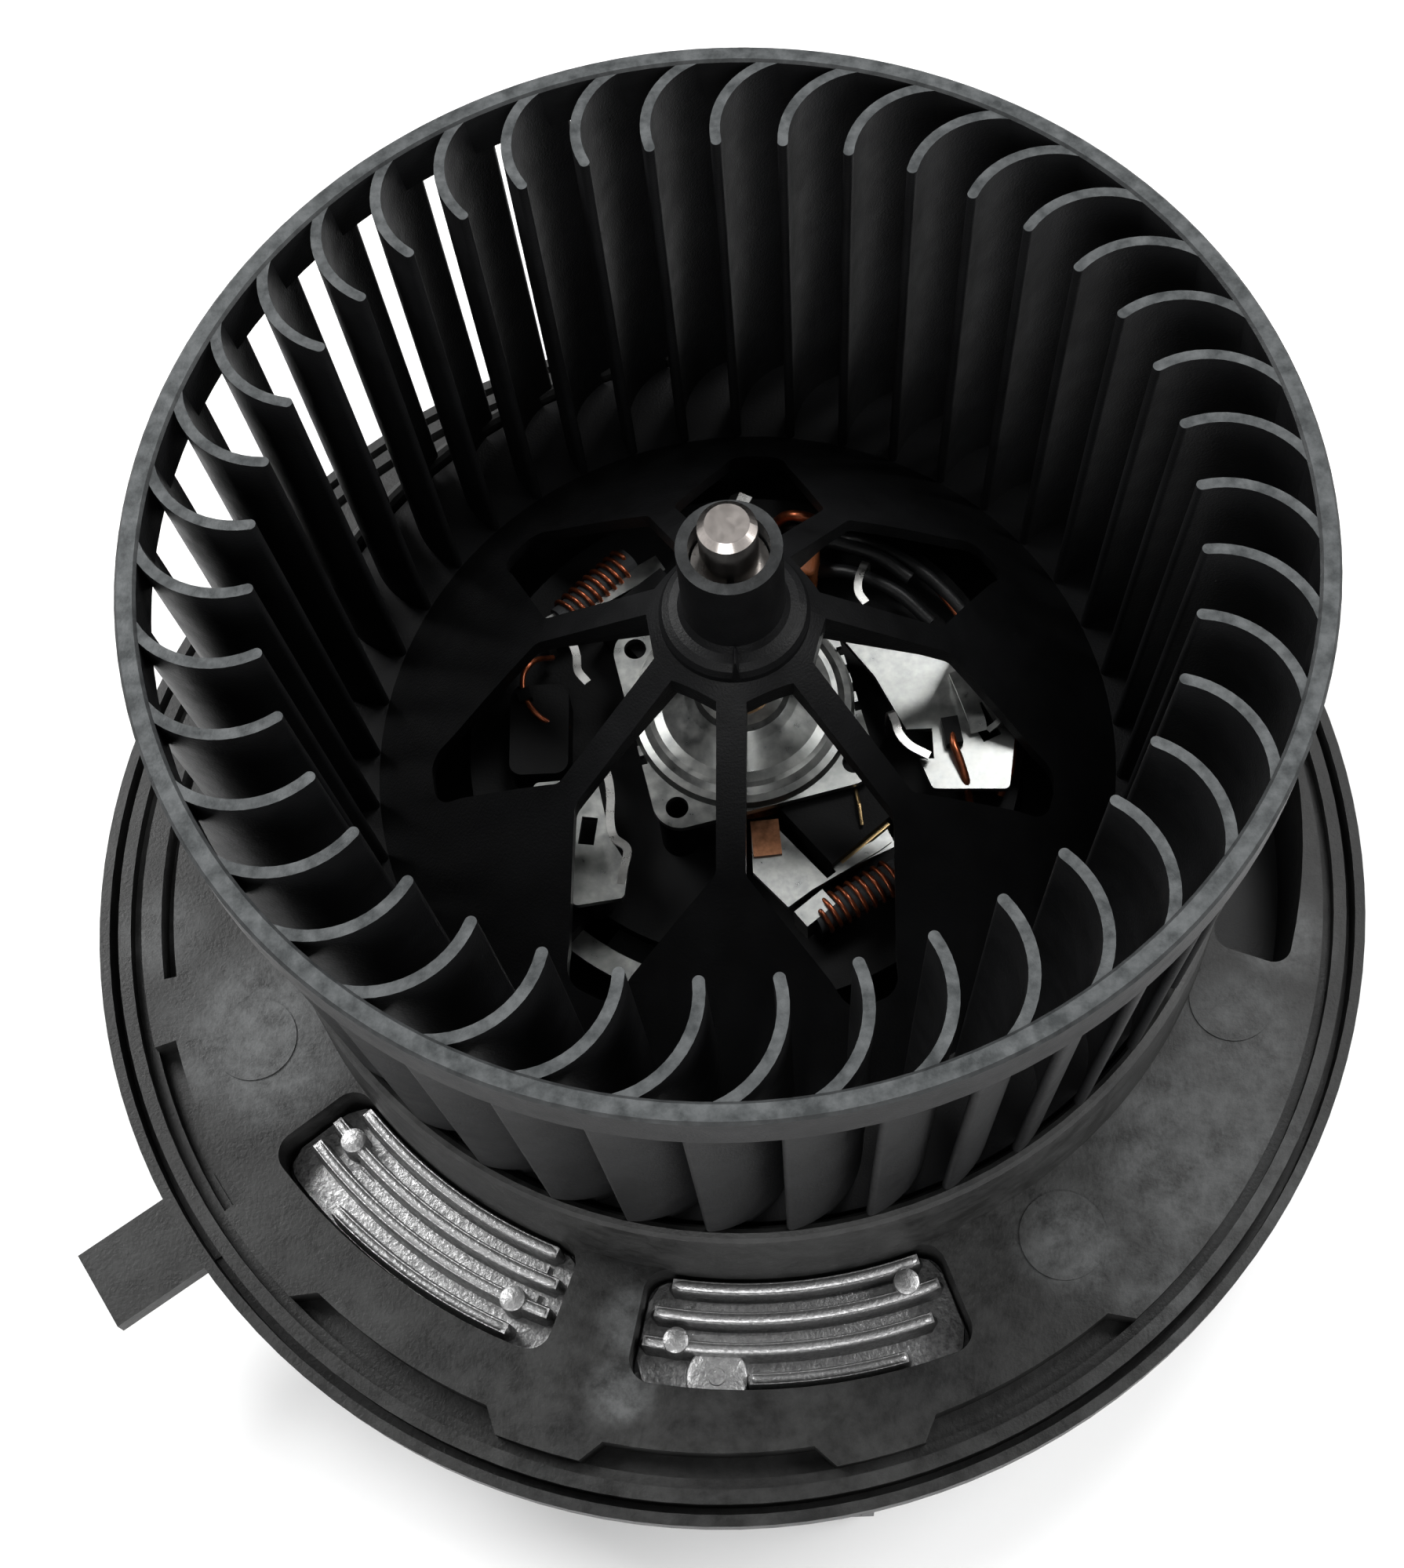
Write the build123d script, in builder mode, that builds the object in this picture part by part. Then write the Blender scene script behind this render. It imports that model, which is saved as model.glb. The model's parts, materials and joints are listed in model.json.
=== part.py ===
from build123d import *
import os
from math import cos, radians, sin

# Blower motor unit: a forward-curved centrifugal wheel on the shaft of a brushed motor,
# carried by a round mounting flange with a fan-speed controller underneath.
# The origin is the centre of the flange, in the plane of its pilot ring. +Z points to the wheel.

# ---------------------------------------------------------------- driving dimensions, mm
# Shaft axis, which stands off the flange's centre
AXIS_X, AXIS_Y = 3.6, 10.0

# Wheel
WHEEL_TOP = 92.2
HOOP_OUTER_R, HOOP_INNER_R, HOOP_HEIGHT = 79.0, 76.2, 8.0
BLADES = 41
BLADE_THICKNESS = 1.5
BLADE_TIP_R = 61.3                    # radius of the blades' inner tips
BLADE_ARC_CENTRE, BLADE_ARC_R = (64.0, -12.7), 12.95
BLADE_ARC_START, BLADE_ARC_END = 99.0, 0.0
BLADE_FIRST_ANGLE = 90.0
BLADE_TOP_DROP = 0.3                  # blade tops lie this far under the hoop's top
BLADE_LEAN = 3.2                      # how much nearer to the axis a blade stands at its foot
FLOOR_R = 73.6
FLOOR_TOP, FLOOR_THICKNESS = 18.2, 2.0

# Wheel disc: a cone with seven spokes between seven openings
SPOKES = 7
SPOKE_WIDTH = 4.2
SPOKE_FIRST_ANGLE = 266.0
CONE_TOP_R, CONE_TOP_Z = 10.6, 65.2
CONE_FOOT_R = 58.0
CONE_WALL = 3.0                       # measured along Z
OPENING_START, OPENING_SHOULDER, OPENING_END = 12.5, 31.0, 48.3
HUB_R, HUB_TOP, HUB_FOOT = 7.2, 84.7, 58.0
COUNTERBORE_R, COUNTERBORE_DEPTH = 5.55, 5.0

# Shaft and rotor
SHAFT_R = 4.0
SHAFT_TOP, SHAFT_FOOT = 91.0, -25.0
CORE_R, CORE_FOOT, CORE_TOP = 31.2, -16.0, 12.0
CORE_SLOTS = 12
COMMUTATOR_R, COMMUTATOR_FOOT, COMMUTATOR_TOP = 10.2, 20.0, 32.0
COMMUTATOR_BARS = 24

# Motor can, magnets, bearings
CAN_R, CAN_WALL = 40.0, 1.2
CAN_FOOT, CAN_TOP = -28.0, 20.0
CAN_LIP_R = 42.4
MAGNET_R = 32.0
RUNNING_GAP = 0.03                    # radial clearance of the shaft in its bearings

# End plate with its stepped dome, and the lower bracket plate
PLATE_TOP, PLATE_THICKNESS = 35.2, 1.2
PLATE_SIDE, PLATE_CORNER, PLATE_TURN = 34.0, 4.2, 13.0
EAR_R = 19.2
EAR_ANGLES = (58.0, 148.0, 238.0, 328.0)
DOME_TOP = 42.2
BRACKET_TOP = 30.7

# Brush gear
CARD_TOP, CARD_THICKNESS, CARD_R = 23.0, 3.0, 43.0
BRUSH_ANGLES = (309.0, 129.0)
BRUSH_WIDTH, BRUSH_HEIGHT, BRUSH_LENGTH = 8.0, 7.0, 11.5
BRUSH_TIP_R = 10.5
TUBE_START, TUBE_END, TUBE_WALL = 13.0, 27.5, 0.5
BRUSH_SIDE_GAP = 0.2
HOLDER_START, HOLDER_WALL = 16.0, 1.6
CHOKE_R = 33.2
CHOKE_ANGLES = (299.0, 134.0)

# Mounting flange
RIM_R, RIM_WALL, RIM_FOOT_R, RIM_HEIGHT = 102.3, 4.0, 101.5, 8.0
RIM_RING_INNER_R = 100.7
PILOT_R, PILOT_INNER_R, GROOVE_DEPTH = 99.3, 97.3, 5.0
STEP_R, STEP_DEPTH = 95.6, 2.6
SKIN = 3.0
LIP_TOP, LIP_R, LIP_INNER_R = 20.2, 76.8, 74.4
RUNNING_CLEARANCE = 0.9
DISH_FLOOR, CUP_R, CUP_WALL = 10.0, 44.0, 2.5
BASE_Z = -34.0

# Heat-sink windows and the controller under them
WINDOW_IN, WINDOW_OUT = 77.4, 93.8
WINDOW_SPANS = ((216.3, 249.3), (257.0, 289.5))
FIN_RADII = (78.9, 83.2, 87.6, 91.9)
FIN_SPANS = (
    ((219.0, 246.6), (217.6, 247.9), (218.2, 248.1), (224.5, 245.0)),
    ((259.8, 287.0), (258.4, 288.2), (257.8, 286.4), (268.3, 283.0)),
)
FIN_TOP, FIN_THICKNESS = -2.5, 1.5
LARGE_BOSS, LARGE_BOSS_R, LARGE_BOSS_TOP = (91.5, 265.2), 4.5, -3.8
SHOULDER_TOP = -6.5
SINK_TOP, SINK_THICKNESS = -10.0, 3.0
BOX_IN, BOX_OUT, BOX_SPAN = 47.4, 96.4, (208.0, 298.0)
BOX_WALL = 2.0
BOX_SCREWS = ((54.0, 213.0), (54.0, 293.0), (85.5, 253.2))
POST_TOPS = (DISH_FLOOR - 2.0, DISH_FLOOR - 2.0, -1.0)
SCREW_R = 1.75


# ---------------------------------------------------------------- helpers
def at(radius, angle):
    """A point at a radius and an angle in degrees."""
    return (radius * cos(radians(angle)), radius * sin(radians(angle)))


def level(z):
    """A horizontal plane centred on the shaft axis."""
    return Plane(origin=(AXIS_X, AXIS_Y, z))


def facing(angle, z):
    """A horizontal plane on the shaft axis with its X along an angle."""
    return Plane(origin=(AXIS_X, AXIS_Y, z), x_dir=(*at(1, angle), 0), z_dir=(0, 0, 1))


def upright(x, y):
    """A vertical plane through an axis at (x, y): its X is radius and its Y is height."""
    return Plane(origin=(x, y, 0), x_dir=(1, 0, 0), z_dir=(0, -1, 0))


def outward(angle, radius, z):
    """A plane that faces away from the shaft axis, with its Y up."""
    px, py = at(radius, angle)
    return Plane(
        origin=(AXIS_X + px, AXIS_Y + py, z),
        x_dir=(*at(1, angle + 90), 0),
        z_dir=(*at(1, angle), 0),
    )


def sector(r_in, r_out, start, end, corner=0, slant=0):
    """A piece of a ring; slant widens its outer edge at each end by that many degrees."""
    with BuildSketch() as piece:
        with BuildLine():
            outer = CenterArc((0, 0), r_out, start - slant, end - start + 2 * slant)
            inner = CenterArc((0, 0), r_in, start, end - start)
            Line(outer @ 0, inner @ 0)
            Line(outer @ 1, inner @ 1)
        make_face()
        if corner:
            fillet(piece.vertices(), corner)
    return piece.sketch


SHAFT_AXIS = Axis((AXIS_X, AXIS_Y, 0), (0, 0, 1))
FLANGE_AXIS = Axis((0, 0, 0), (0, 0, 1))


def save(part, name):
    """Label a finished piece and write its STEP."""
    part.label = name
    export_step(part, f"parts/{name}.step")


os.makedirs("parts", exist_ok=True)

# ---------------------------------------------------------------- wheel
with BuildPart() as impeller_hoop:
    with BuildSketch(upright(AXIS_X, AXIS_Y)):
        with Locations(((HOOP_INNER_R + HOOP_OUTER_R) / 2, WHEEL_TOP - HOOP_HEIGHT / 2)):
            Rectangle(HOOP_OUTER_R - HOOP_INNER_R, HOOP_HEIGHT)
    revolve(axis=SHAFT_AXIS)
    chamfer(impeller_hoop.edges().group_by(Axis.Z)[-1], 0.4)
save(impeller_hoop.part, "impeller_hoop")

blade_line = CenterArc(BLADE_ARC_CENTRE, BLADE_ARC_R, BLADE_ARC_START, BLADE_ARC_END - BLADE_ARC_START)
BLADE_HEIGHT = WHEEL_TOP - BLADE_TOP_DROP - FLOOR_TOP
with BuildPart() as impeller_blades:
    for blade in range(BLADES):
        blade_angle = BLADE_FIRST_ANGLE + blade * 360 / BLADES
        foot_x, foot_y = at(-BLADE_LEAN, blade_angle)
        foot = Plane(
            origin=(AXIS_X + foot_x, AXIS_Y + foot_y, FLOOR_TOP),
            x_dir=(*at(1, blade_angle), 0),
            z_dir=(0, 0, 1),
        )
        with BuildSketch(foot):
            SlotArc(blade_line, BLADE_THICKNESS)
        extrude(amount=BLADE_HEIGHT, dir=Vector(-foot_x, -foot_y, BLADE_HEIGHT))
    with BuildSketch(upright(AXIS_X, AXIS_Y)):
        with BuildLine():
            Polyline(
                (BLADE_TIP_R - 6, FLOOR_TOP),
                (FLOOR_R, FLOOR_TOP),
                (FLOOR_R, LIP_TOP + RUNNING_CLEARANCE),
                (HOOP_OUTER_R - BLADE_LEAN, LIP_TOP + RUNNING_CLEARANCE),
                (HOOP_OUTER_R, WHEEL_TOP - HOOP_HEIGHT),
                (HOOP_INNER_R, WHEEL_TOP - HOOP_HEIGHT),
                (HOOP_INNER_R, WHEEL_TOP),
                (BLADE_TIP_R - 6, WHEEL_TOP),
                close=True,
            )
        make_face()
    revolve(axis=SHAFT_AXIS, mode=Mode.INTERSECT)
save(impeller_blades.part, "impeller_blades")

# The openings narrow outwards from the spokes' shoulders to rounded ends.
half_pitch = 180.0 / SPOKES
half_width = SPOKE_WIDTH / 2


def spoke_edge(distance):
    """A point on the edge of a spoke, in a frame whose X runs down the middle of an opening."""
    along, across = at(distance, half_pitch)
    return (along + half_width * sin(radians(half_pitch)), across - half_width * cos(radians(half_pitch)))


inner_x, inner_y = spoke_edge(OPENING_START)
shoulder_x, shoulder_y = spoke_edge(OPENING_SHOULDER)
OPENING_NECK_X, OPENING_NECK_Y, OPENING_END_Y = 44.0, 5.2, 3.9
with BuildSketch() as opening:
    with BuildLine():
        Polyline(
            (inner_x, -inner_y),
            (shoulder_x, -shoulder_y),
            (OPENING_NECK_X, -OPENING_NECK_Y),
            (OPENING_END, -OPENING_END_Y),
            (OPENING_END, OPENING_END_Y),
            (OPENING_NECK_X, OPENING_NECK_Y),
            (shoulder_x, shoulder_y),
            (inner_x, inner_y),
            close=True,
        )
    make_face()
    fillet(opening.vertices().group_by(Axis.X)[-1], 3.4)
    fillet(opening.vertices().group_by(Axis.Y)[-1], 1.6)
    fillet(opening.vertices().group_by(Axis.Y)[0], 1.6)

with BuildPart() as impeller_disc:
    with BuildSketch(upright(AXIS_X, AXIS_Y)):
        with BuildLine():
            Polyline(
                (SHAFT_R, HUB_FOOT),
                (SHAFT_R, HUB_TOP - COUNTERBORE_DEPTH),
                (COUNTERBORE_R, HUB_TOP - COUNTERBORE_DEPTH),
                (COUNTERBORE_R, HUB_TOP),
                (HUB_R, HUB_TOP),
                (HUB_R, 69.6),
                (HUB_R + 0.7, 68.5),
                (HUB_R + 1.9, 68.1),
                (HUB_R + 2.9, 67.4),
                (CONE_TOP_R, 66.4),
                (CONE_TOP_R, CONE_TOP_Z),
                (CONE_FOOT_R, FLOOR_TOP),
                (FLOOR_R, FLOOR_TOP),
                (FLOOR_R, FLOOR_TOP - FLOOR_THICKNESS),
                (CONE_FOOT_R - 1.0, FLOOR_TOP - FLOOR_THICKNESS),
                (CONE_TOP_R - 0.6, CONE_TOP_Z - CONE_WALL),
                (HUB_R, CONE_TOP_Z - CONE_WALL - 0.4),
                (HUB_R, HUB_FOOT),
                close=True,
            )
        make_face()
    revolve(axis=SHAFT_AXIS)
    with BuildSketch(level(FLOOR_TOP - FLOOR_THICKNESS)):
        with PolarLocations(0, SPOKES, start_angle=SPOKE_FIRST_ANGLE + half_pitch):
            add(opening.sketch)
    extrude(amount=60, mode=Mode.SUBTRACT)
    # A stiffening web under each spoke.
    for spoke in range(SPOKES):
        web_angle = SPOKE_FIRST_ANGLE + spoke * 360 / SPOKES
        along_spoke = Plane(
            level(0).origin,
            x_dir=(*at(1, web_angle), 0),
            z_dir=(*at(1, web_angle - 90), 0),
        )
        with BuildSketch(along_spoke):
            with BuildLine():
                Polyline(
                    (HUB_R - 1, 59.0),
                    (HUB_R - 1, 62.0),
                    (12.0, 63.0),
                    (46.0, 29.4),
                    (46.0, 28.6),
                    close=True,
                )
            make_face()
        extrude(amount=0.8, both=True)
    # A moulded wedge marks the hub's collar.
    with BuildSketch(facing(270.0, 66.0)):
        with Locations((9.0, 0)):
            Rectangle(3.6, 1.4)
    extrude(amount=4.4, taper=8)
save(impeller_disc.part, "impeller_disc")

# ---------------------------------------------------------------- shaft and rotor
with BuildPart() as motor_shaft:
    with BuildSketch(level(SHAFT_FOOT)):
        Circle(SHAFT_R)
    extrude(amount=SHAFT_TOP - SHAFT_FOOT)
    chamfer(motor_shaft.edges().group_by(Axis.Z)[-1], 1.0)
    chamfer(motor_shaft.edges().group_by(Axis.Z)[0], 0.5)
save(motor_shaft.part, "motor_shaft")

# A split spring ring grips the shaft above the hub's bore.
CLIP_FOOT = HUB_TOP - COUNTERBORE_DEPTH
with BuildPart() as shaft_clip:
    with BuildSketch(level(CLIP_FOOT)):
        Circle(COUNTERBORE_R - 0.25)
        Circle(SHAFT_R, mode=Mode.SUBTRACT)
        with Locations((0, -COUNTERBORE_R)):
            Rectangle(1.6, 4.0, mode=Mode.SUBTRACT)
    extrude(amount=1.0)
save(shaft_clip.part, "shaft_clip")

with BuildPart() as rotor_core:
    with BuildSketch(level(CORE_FOOT)):
        Circle(CORE_R)
        Circle(SHAFT_R, mode=Mode.SUBTRACT)
        with PolarLocations(CORE_R - 8.5, CORE_SLOTS):
            SlotOverall(13.0, 6.0, mode=Mode.SUBTRACT)
        with PolarLocations(CORE_R - 1.0, CORE_SLOTS):
            Rectangle(4.0, 2.2, mode=Mode.SUBTRACT)
    extrude(amount=CORE_TOP - CORE_FOOT)
save(rotor_core.part, "rotor_core")

WINDING_BULGE, WINDING_R, WINDING_INNER_R = 6.0, 29.0, 13.2
with BuildPart() as rotor_windings:
    with BuildSketch(level(CORE_FOOT)):
        with PolarLocations(CORE_R - 8.5, CORE_SLOTS):
            SlotOverall(13.0, 6.0)
    extrude(amount=CORE_TOP - CORE_FOOT)
    for end in (CORE_TOP, CORE_FOOT - WINDING_BULGE):
        with BuildSketch(level(end)):
            Circle(WINDING_R)
            Circle(WINDING_INNER_R, mode=Mode.SUBTRACT)
        extrude(amount=WINDING_BULGE)
    fillet(rotor_windings.edges().group_by(Axis.Z)[-1], 2.2)
    fillet(rotor_windings.edges().group_by(Axis.Z)[0], 2.2)
save(rotor_windings.part, "rotor_windings")

RISER_R, BAR_GAP = 12.4, 0.5
with BuildPart() as commutator:
    with BuildSketch(level(COMMUTATOR_FOOT - 2)):
        Circle(RISER_R)
        Circle(SHAFT_R, mode=Mode.SUBTRACT)
    extrude(amount=2)
    with BuildSketch(level(COMMUTATOR_FOOT)):
        Circle(COMMUTATOR_R)
        Circle(SHAFT_R, mode=Mode.SUBTRACT)
    extrude(amount=COMMUTATOR_TOP - COMMUTATOR_FOOT)
    with BuildSketch(level(COMMUTATOR_FOOT)):
        with PolarLocations(COMMUTATOR_R, COMMUTATOR_BARS):
            Rectangle(1.6, BAR_GAP)
    extrude(amount=COMMUTATOR_TOP - COMMUTATOR_FOOT, mode=Mode.SUBTRACT)
save(commutator.part, "commutator")

with BuildPart() as thrust_washers:
    for foot in (COMMUTATOR_TOP, -19.0):
        with BuildSketch(level(foot)):
            Circle(6.2)
            Circle(SHAFT_R, mode=Mode.SUBTRACT)
        extrude(amount=0.6)
save(thrust_washers.part, "thrust_washers")

# ---------------------------------------------------------------- motor can and magnets
BEARING_R, LOWER_BEARING_FOOT, LOWER_BEARING_TOP = 7.0, -26.8, -19.6
with BuildPart() as motor_can:
    with BuildSketch(upright(AXIS_X, AXIS_Y)):
        with BuildLine():
            Polyline(
                (0, CAN_FOOT),
                (CAN_R - 2, CAN_FOOT),
                (CAN_R, CAN_FOOT + 2),
                (CAN_R, CAN_TOP - CAN_WALL),
                (CAN_LIP_R, CAN_TOP - CAN_WALL),
                (CAN_LIP_R, CAN_TOP),
                (CAN_R - CAN_WALL, CAN_TOP),
                (CAN_R - CAN_WALL, CAN_FOOT + 2.4),
                (CAN_R - 2.6, CAN_FOOT + CAN_WALL),
                (0, CAN_FOOT + CAN_WALL),
                close=True,
            )
        make_face()
    revolve(axis=SHAFT_AXIS)
    with BuildSketch(level(CAN_FOOT)):
        with PolarLocations(25.0, 6, start_angle=30):
            SlotOverall(12.0, 6.0, rotation=90)
    extrude(amount=CAN_WALL, mode=Mode.SUBTRACT)
save(motor_can.part, "motor_can")

MAGNET_SPAN = 74.0
with BuildPart() as magnets:
    for pole in range(4):
        pole_start = pole * 90 - MAGNET_SPAN / 2
        with BuildSketch(level(CORE_FOOT - 2)):
            add(sector(MAGNET_R, CAN_R - CAN_WALL, pole_start, pole_start + MAGNET_SPAN))
        extrude(amount=CORE_TOP - CORE_FOOT + 4)
save(magnets.part, "magnets")

with BuildPart() as lower_bearing:
    with BuildSketch(level(LOWER_BEARING_FOOT)):
        Circle(BEARING_R)
        Circle(SHAFT_R + RUNNING_GAP, mode=Mode.SUBTRACT)
    extrude(amount=LOWER_BEARING_TOP - LOWER_BEARING_FOOT)
    chamfer(lower_bearing.edges().group_by(Axis.Z)[-1].sort_by(SortBy.RADIUS)[-1], 1.6)
save(lower_bearing.part, "lower_bearing")

with BuildPart() as lower_bearing_clip:
    with BuildSketch(level(LOWER_BEARING_FOOT)):
        Circle(14.0)
        Circle(BEARING_R, mode=Mode.SUBTRACT)
        with PolarLocations(12.0, 6):
            Rectangle(5.0, 3.0, mode=Mode.SUBTRACT)
    extrude(amount=1.0)
save(lower_bearing_clip.part, "lower_bearing_clip")

# ---------------------------------------------------------------- end plate, bearing, bracket
PLATE_FOOT = PLATE_TOP - PLATE_THICKNESS
UPPER_BEARING_R = 5.9
with BuildPart() as end_plate:
    with BuildSketch(level(PLATE_FOOT)):
        RectangleRounded(PLATE_SIDE, PLATE_SIDE, PLATE_CORNER, rotation=PLATE_TURN)
        # Teeth along two sides and a shallow notch in the front one.
        for side_angle in (PLATE_TURN, PLATE_TURN + 180):
            for tooth in range(4):
                with Locations(Location((*at(PLATE_SIDE / 2, side_angle), 0), side_angle)):
                    with Locations((0, tooth * 3.2 - 4.8)):
                        Rectangle(1.8, 1.5, mode=Mode.SUBTRACT)
        with Locations(Location((*at(PLATE_SIDE / 2, PLATE_TURN - 90), 0), PLATE_TURN)):
            with Locations((-5.8, 0)):
                Circle(1.6, mode=Mode.SUBTRACT)
    extrude(amount=PLATE_THICKNESS)
    with BuildSketch(upright(AXIS_X, AXIS_Y)):
        with BuildLine():
            Polyline((0, PLATE_FOOT), (15.6, PLATE_FOOT), (15.6, PLATE_TOP), (0, PLATE_TOP), close=True)
        make_face()
    revolve(axis=SHAFT_AXIS, mode=Mode.SUBTRACT)
    with BuildSketch(upright(AXIS_X, AXIS_Y)):
        with BuildLine():
            Polyline(
                (4.9, DOME_TOP),
                (6.6, DOME_TOP),
                (7.3, 41.4),
                (8.6, 40.4),
                (12.2, 37.9),
                (13.6, 37.3),
                (14.4, 37.3),
                (15.4, 36.6),
                (16.4, 36.2),
                (16.9, PLATE_TOP),
                (16.9, PLATE_FOOT),
                (15.6, PLATE_FOOT),
                (15.0, 35.3),
                (11.6, 36.7),
                (8.0, 39.2),
                (UPPER_BEARING_R, 39.6),
                (UPPER_BEARING_R, 41.2),
                (4.9, 41.2),
                close=True,
            )
        make_face()
    revolve(axis=SHAFT_AXIS)
    with BuildSketch(level(PLATE_FOOT)):
        for ear_angle in EAR_ANGLES:
            with Locations(at(EAR_R, ear_angle)):
                Circle(1.7)
    extrude(amount=PLATE_THICKNESS, mode=Mode.SUBTRACT)
save(end_plate.part, "end_plate")

with BuildPart() as upper_bearing:
    with BuildSketch(level(33.0)):
        Circle(UPPER_BEARING_R)
        Circle(SHAFT_R + RUNNING_GAP, mode=Mode.SUBTRACT)
    extrude(amount=8.0)
save(upper_bearing.part, "upper_bearing")

# Two flat arms of pressed sheet beside the end plate, with slots for the terminals.
RIGHT_ARM = (
    (12.4, 17.4), (33.3, 11.1), (41.4, -3.3), (39.6, -13.5), (28.1, -13.0), (24.6, -3.0), (20.4, 6.0),
)
LEFT_ARM = (
    (-32.0, -9.5), (-33.5, -22.0), (-25.5, -29.3), (-18.4, -28.4), (-17.8, -23.6), (-20.6, -18.5),
    (-22.5, -9.0),
)
with BuildPart() as brush_bracket:
    for arm in (RIGHT_ARM, LEFT_ARM):
        with BuildSketch(level(BRACKET_TOP - PLATE_THICKNESS)) as arm_sketch:
            with BuildLine():
                Polyline(*arm, close=True)
            make_face()
            fillet(arm_sketch.vertices(), 0.9)
        extrude(amount=PLATE_THICKNESS)
    with BuildSketch(level(BRACKET_TOP - PLATE_THICKNESS)):
        with Locations((26.4, -5.6)):
            Rectangle(4.4, 5.0)
        with Locations(Location((36.4, -2.4, 0), 115)):
            Rectangle(6.0, 3.0)
        with Locations(Location((-23.8, -17.6, 0), -8.4)):
            Rectangle(2.4, 4.4)
    extrude(amount=PLATE_THICKNESS, mode=Mode.SUBTRACT)
save(brush_bracket.part, "brush_bracket")

# ---------------------------------------------------------------- brush card
TUBE_FOOT = CARD_TOP
TUBE_WIDTH = BRUSH_WIDTH + 2 * (BRUSH_SIDE_GAP + TUBE_WALL)
TUBE_HEIGHT = BRUSH_HEIGHT + 2 * (BRUSH_SIDE_GAP + TUBE_WALL)
POST_R = 3.0
BRACKET_POSTS = ((26.0, 18.0), (36.5, -14.5), (33.0, 12.0), (34.0, 216.0), (34.0, 204.0), (35.0, 230.0))
CARD_GAP = (35.6, 229.0, 250.0)        # radius and angles of the gap that shows the can's lip
with BuildPart() as brush_card:
    with BuildSketch(level(CARD_TOP - CARD_THICKNESS)):
        Circle(CARD_R)
        Circle(RISER_R + 1.2, mode=Mode.SUBTRACT)
        add(sector(CARD_GAP[0], CARD_R + 1, CARD_GAP[1], CARD_GAP[2]), mode=Mode.SUBTRACT)
    extrude(amount=CARD_THICKNESS)
    # Posts under the end plate's lobes and the bracket's arms.
    with BuildSketch(level(CARD_TOP)):
        for ear_angle in EAR_ANGLES:
            with Locations(at(EAR_R, ear_angle)):
                Circle(POST_R)
                Circle(1.7, mode=Mode.SUBTRACT)
    extrude(amount=PLATE_FOOT - CARD_TOP)
    with BuildSketch(level(CARD_TOP)):
        for post_radius, post_angle in BRACKET_POSTS:
            with Locations(at(post_radius, post_angle)):
                Circle(2.0)
    extrude(amount=BRACKET_TOP - PLATE_THICKNESS - CARD_TOP)
    # A box around each brush tube, and the chokes' cradles.
    for brush_angle in BRUSH_ANGLES:
        with BuildSketch(facing(brush_angle, CARD_TOP)):
            with Locations(((TUBE_END + HOLDER_START) / 2, 0)):
                Rectangle(TUBE_END - HOLDER_START, TUBE_WIDTH + 2 * HOLDER_WALL)
        extrude(amount=TUBE_HEIGHT + HOLDER_WALL)
    for choke_angle in CHOKE_ANGLES:
        with BuildSketch(facing(choke_angle, CARD_TOP)):
            for side in (-1, 1):
                with Locations((CHOKE_R, side * 6.8)):
                    Rectangle(4.0, 1.4)
        extrude(amount=4.0)
    with BuildSketch(facing(180.0, CARD_TOP)):
        with Locations((31.5, 0)):
            RectangleRounded(9.0, 15.0, 2.0)
    extrude(amount=6.5)
    for brush_angle in BRUSH_ANGLES:
        with BuildSketch(outward(brush_angle, TUBE_START, TUBE_FOOT + TUBE_HEIGHT / 2)):
            Rectangle(TUBE_WIDTH, TUBE_HEIGHT)
        extrude(amount=TUBE_END - TUBE_START, mode=Mode.SUBTRACT)
save(brush_card.part, "brush_card")

with BuildPart() as brush_tubes:
    for brush_angle in BRUSH_ANGLES:
        with BuildSketch(outward(brush_angle, TUBE_START, TUBE_FOOT + TUBE_HEIGHT / 2)):
            Rectangle(TUBE_WIDTH, TUBE_HEIGHT)
            Rectangle(TUBE_WIDTH - 2 * TUBE_WALL, TUBE_HEIGHT - 2 * TUBE_WALL, mode=Mode.SUBTRACT)
        extrude(amount=TUBE_END - TUBE_START)
        with BuildSketch(outward(brush_angle, TUBE_END, TUBE_FOOT + TUBE_HEIGHT / 2)):
            Rectangle(TUBE_WIDTH, TUBE_HEIGHT)
        extrude(amount=TUBE_WALL)
save(brush_tubes.part, "brush_tubes")

# Each brush has a hollow at its back where its spring sits.
SPRING_R, SPRING_WIRE_R = 2.6, 0.35
BRUSH_END = BRUSH_TIP_R + BRUSH_LENGTH
for letter, brush_angle in zip("ab", BRUSH_ANGLES):
    with BuildPart() as carbon_brush:
        with BuildSketch(outward(brush_angle, BRUSH_TIP_R, TUBE_FOOT + TUBE_HEIGHT / 2)):
            Rectangle(BRUSH_WIDTH, BRUSH_HEIGHT)
        extrude(amount=BRUSH_LENGTH)
        chamfer(carbon_brush.faces().sort_by(Axis((0, 0, 0), (*at(1, brush_angle), 0)))[-1].edges(), 0.6)
    save(carbon_brush.part, f"carbon_brush_{letter}")

    with BuildPart() as brush_spring:
        with BuildSketch(outward(brush_angle, BRUSH_END, TUBE_FOOT + TUBE_HEIGHT / 2)):
            Circle(SPRING_R)
            Circle(SPRING_R - 2 * SPRING_WIRE_R, mode=Mode.SUBTRACT)
        extrude(amount=TUBE_END - BRUSH_END)
    save(brush_spring.part, f"brush_spring_{letter}")

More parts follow.
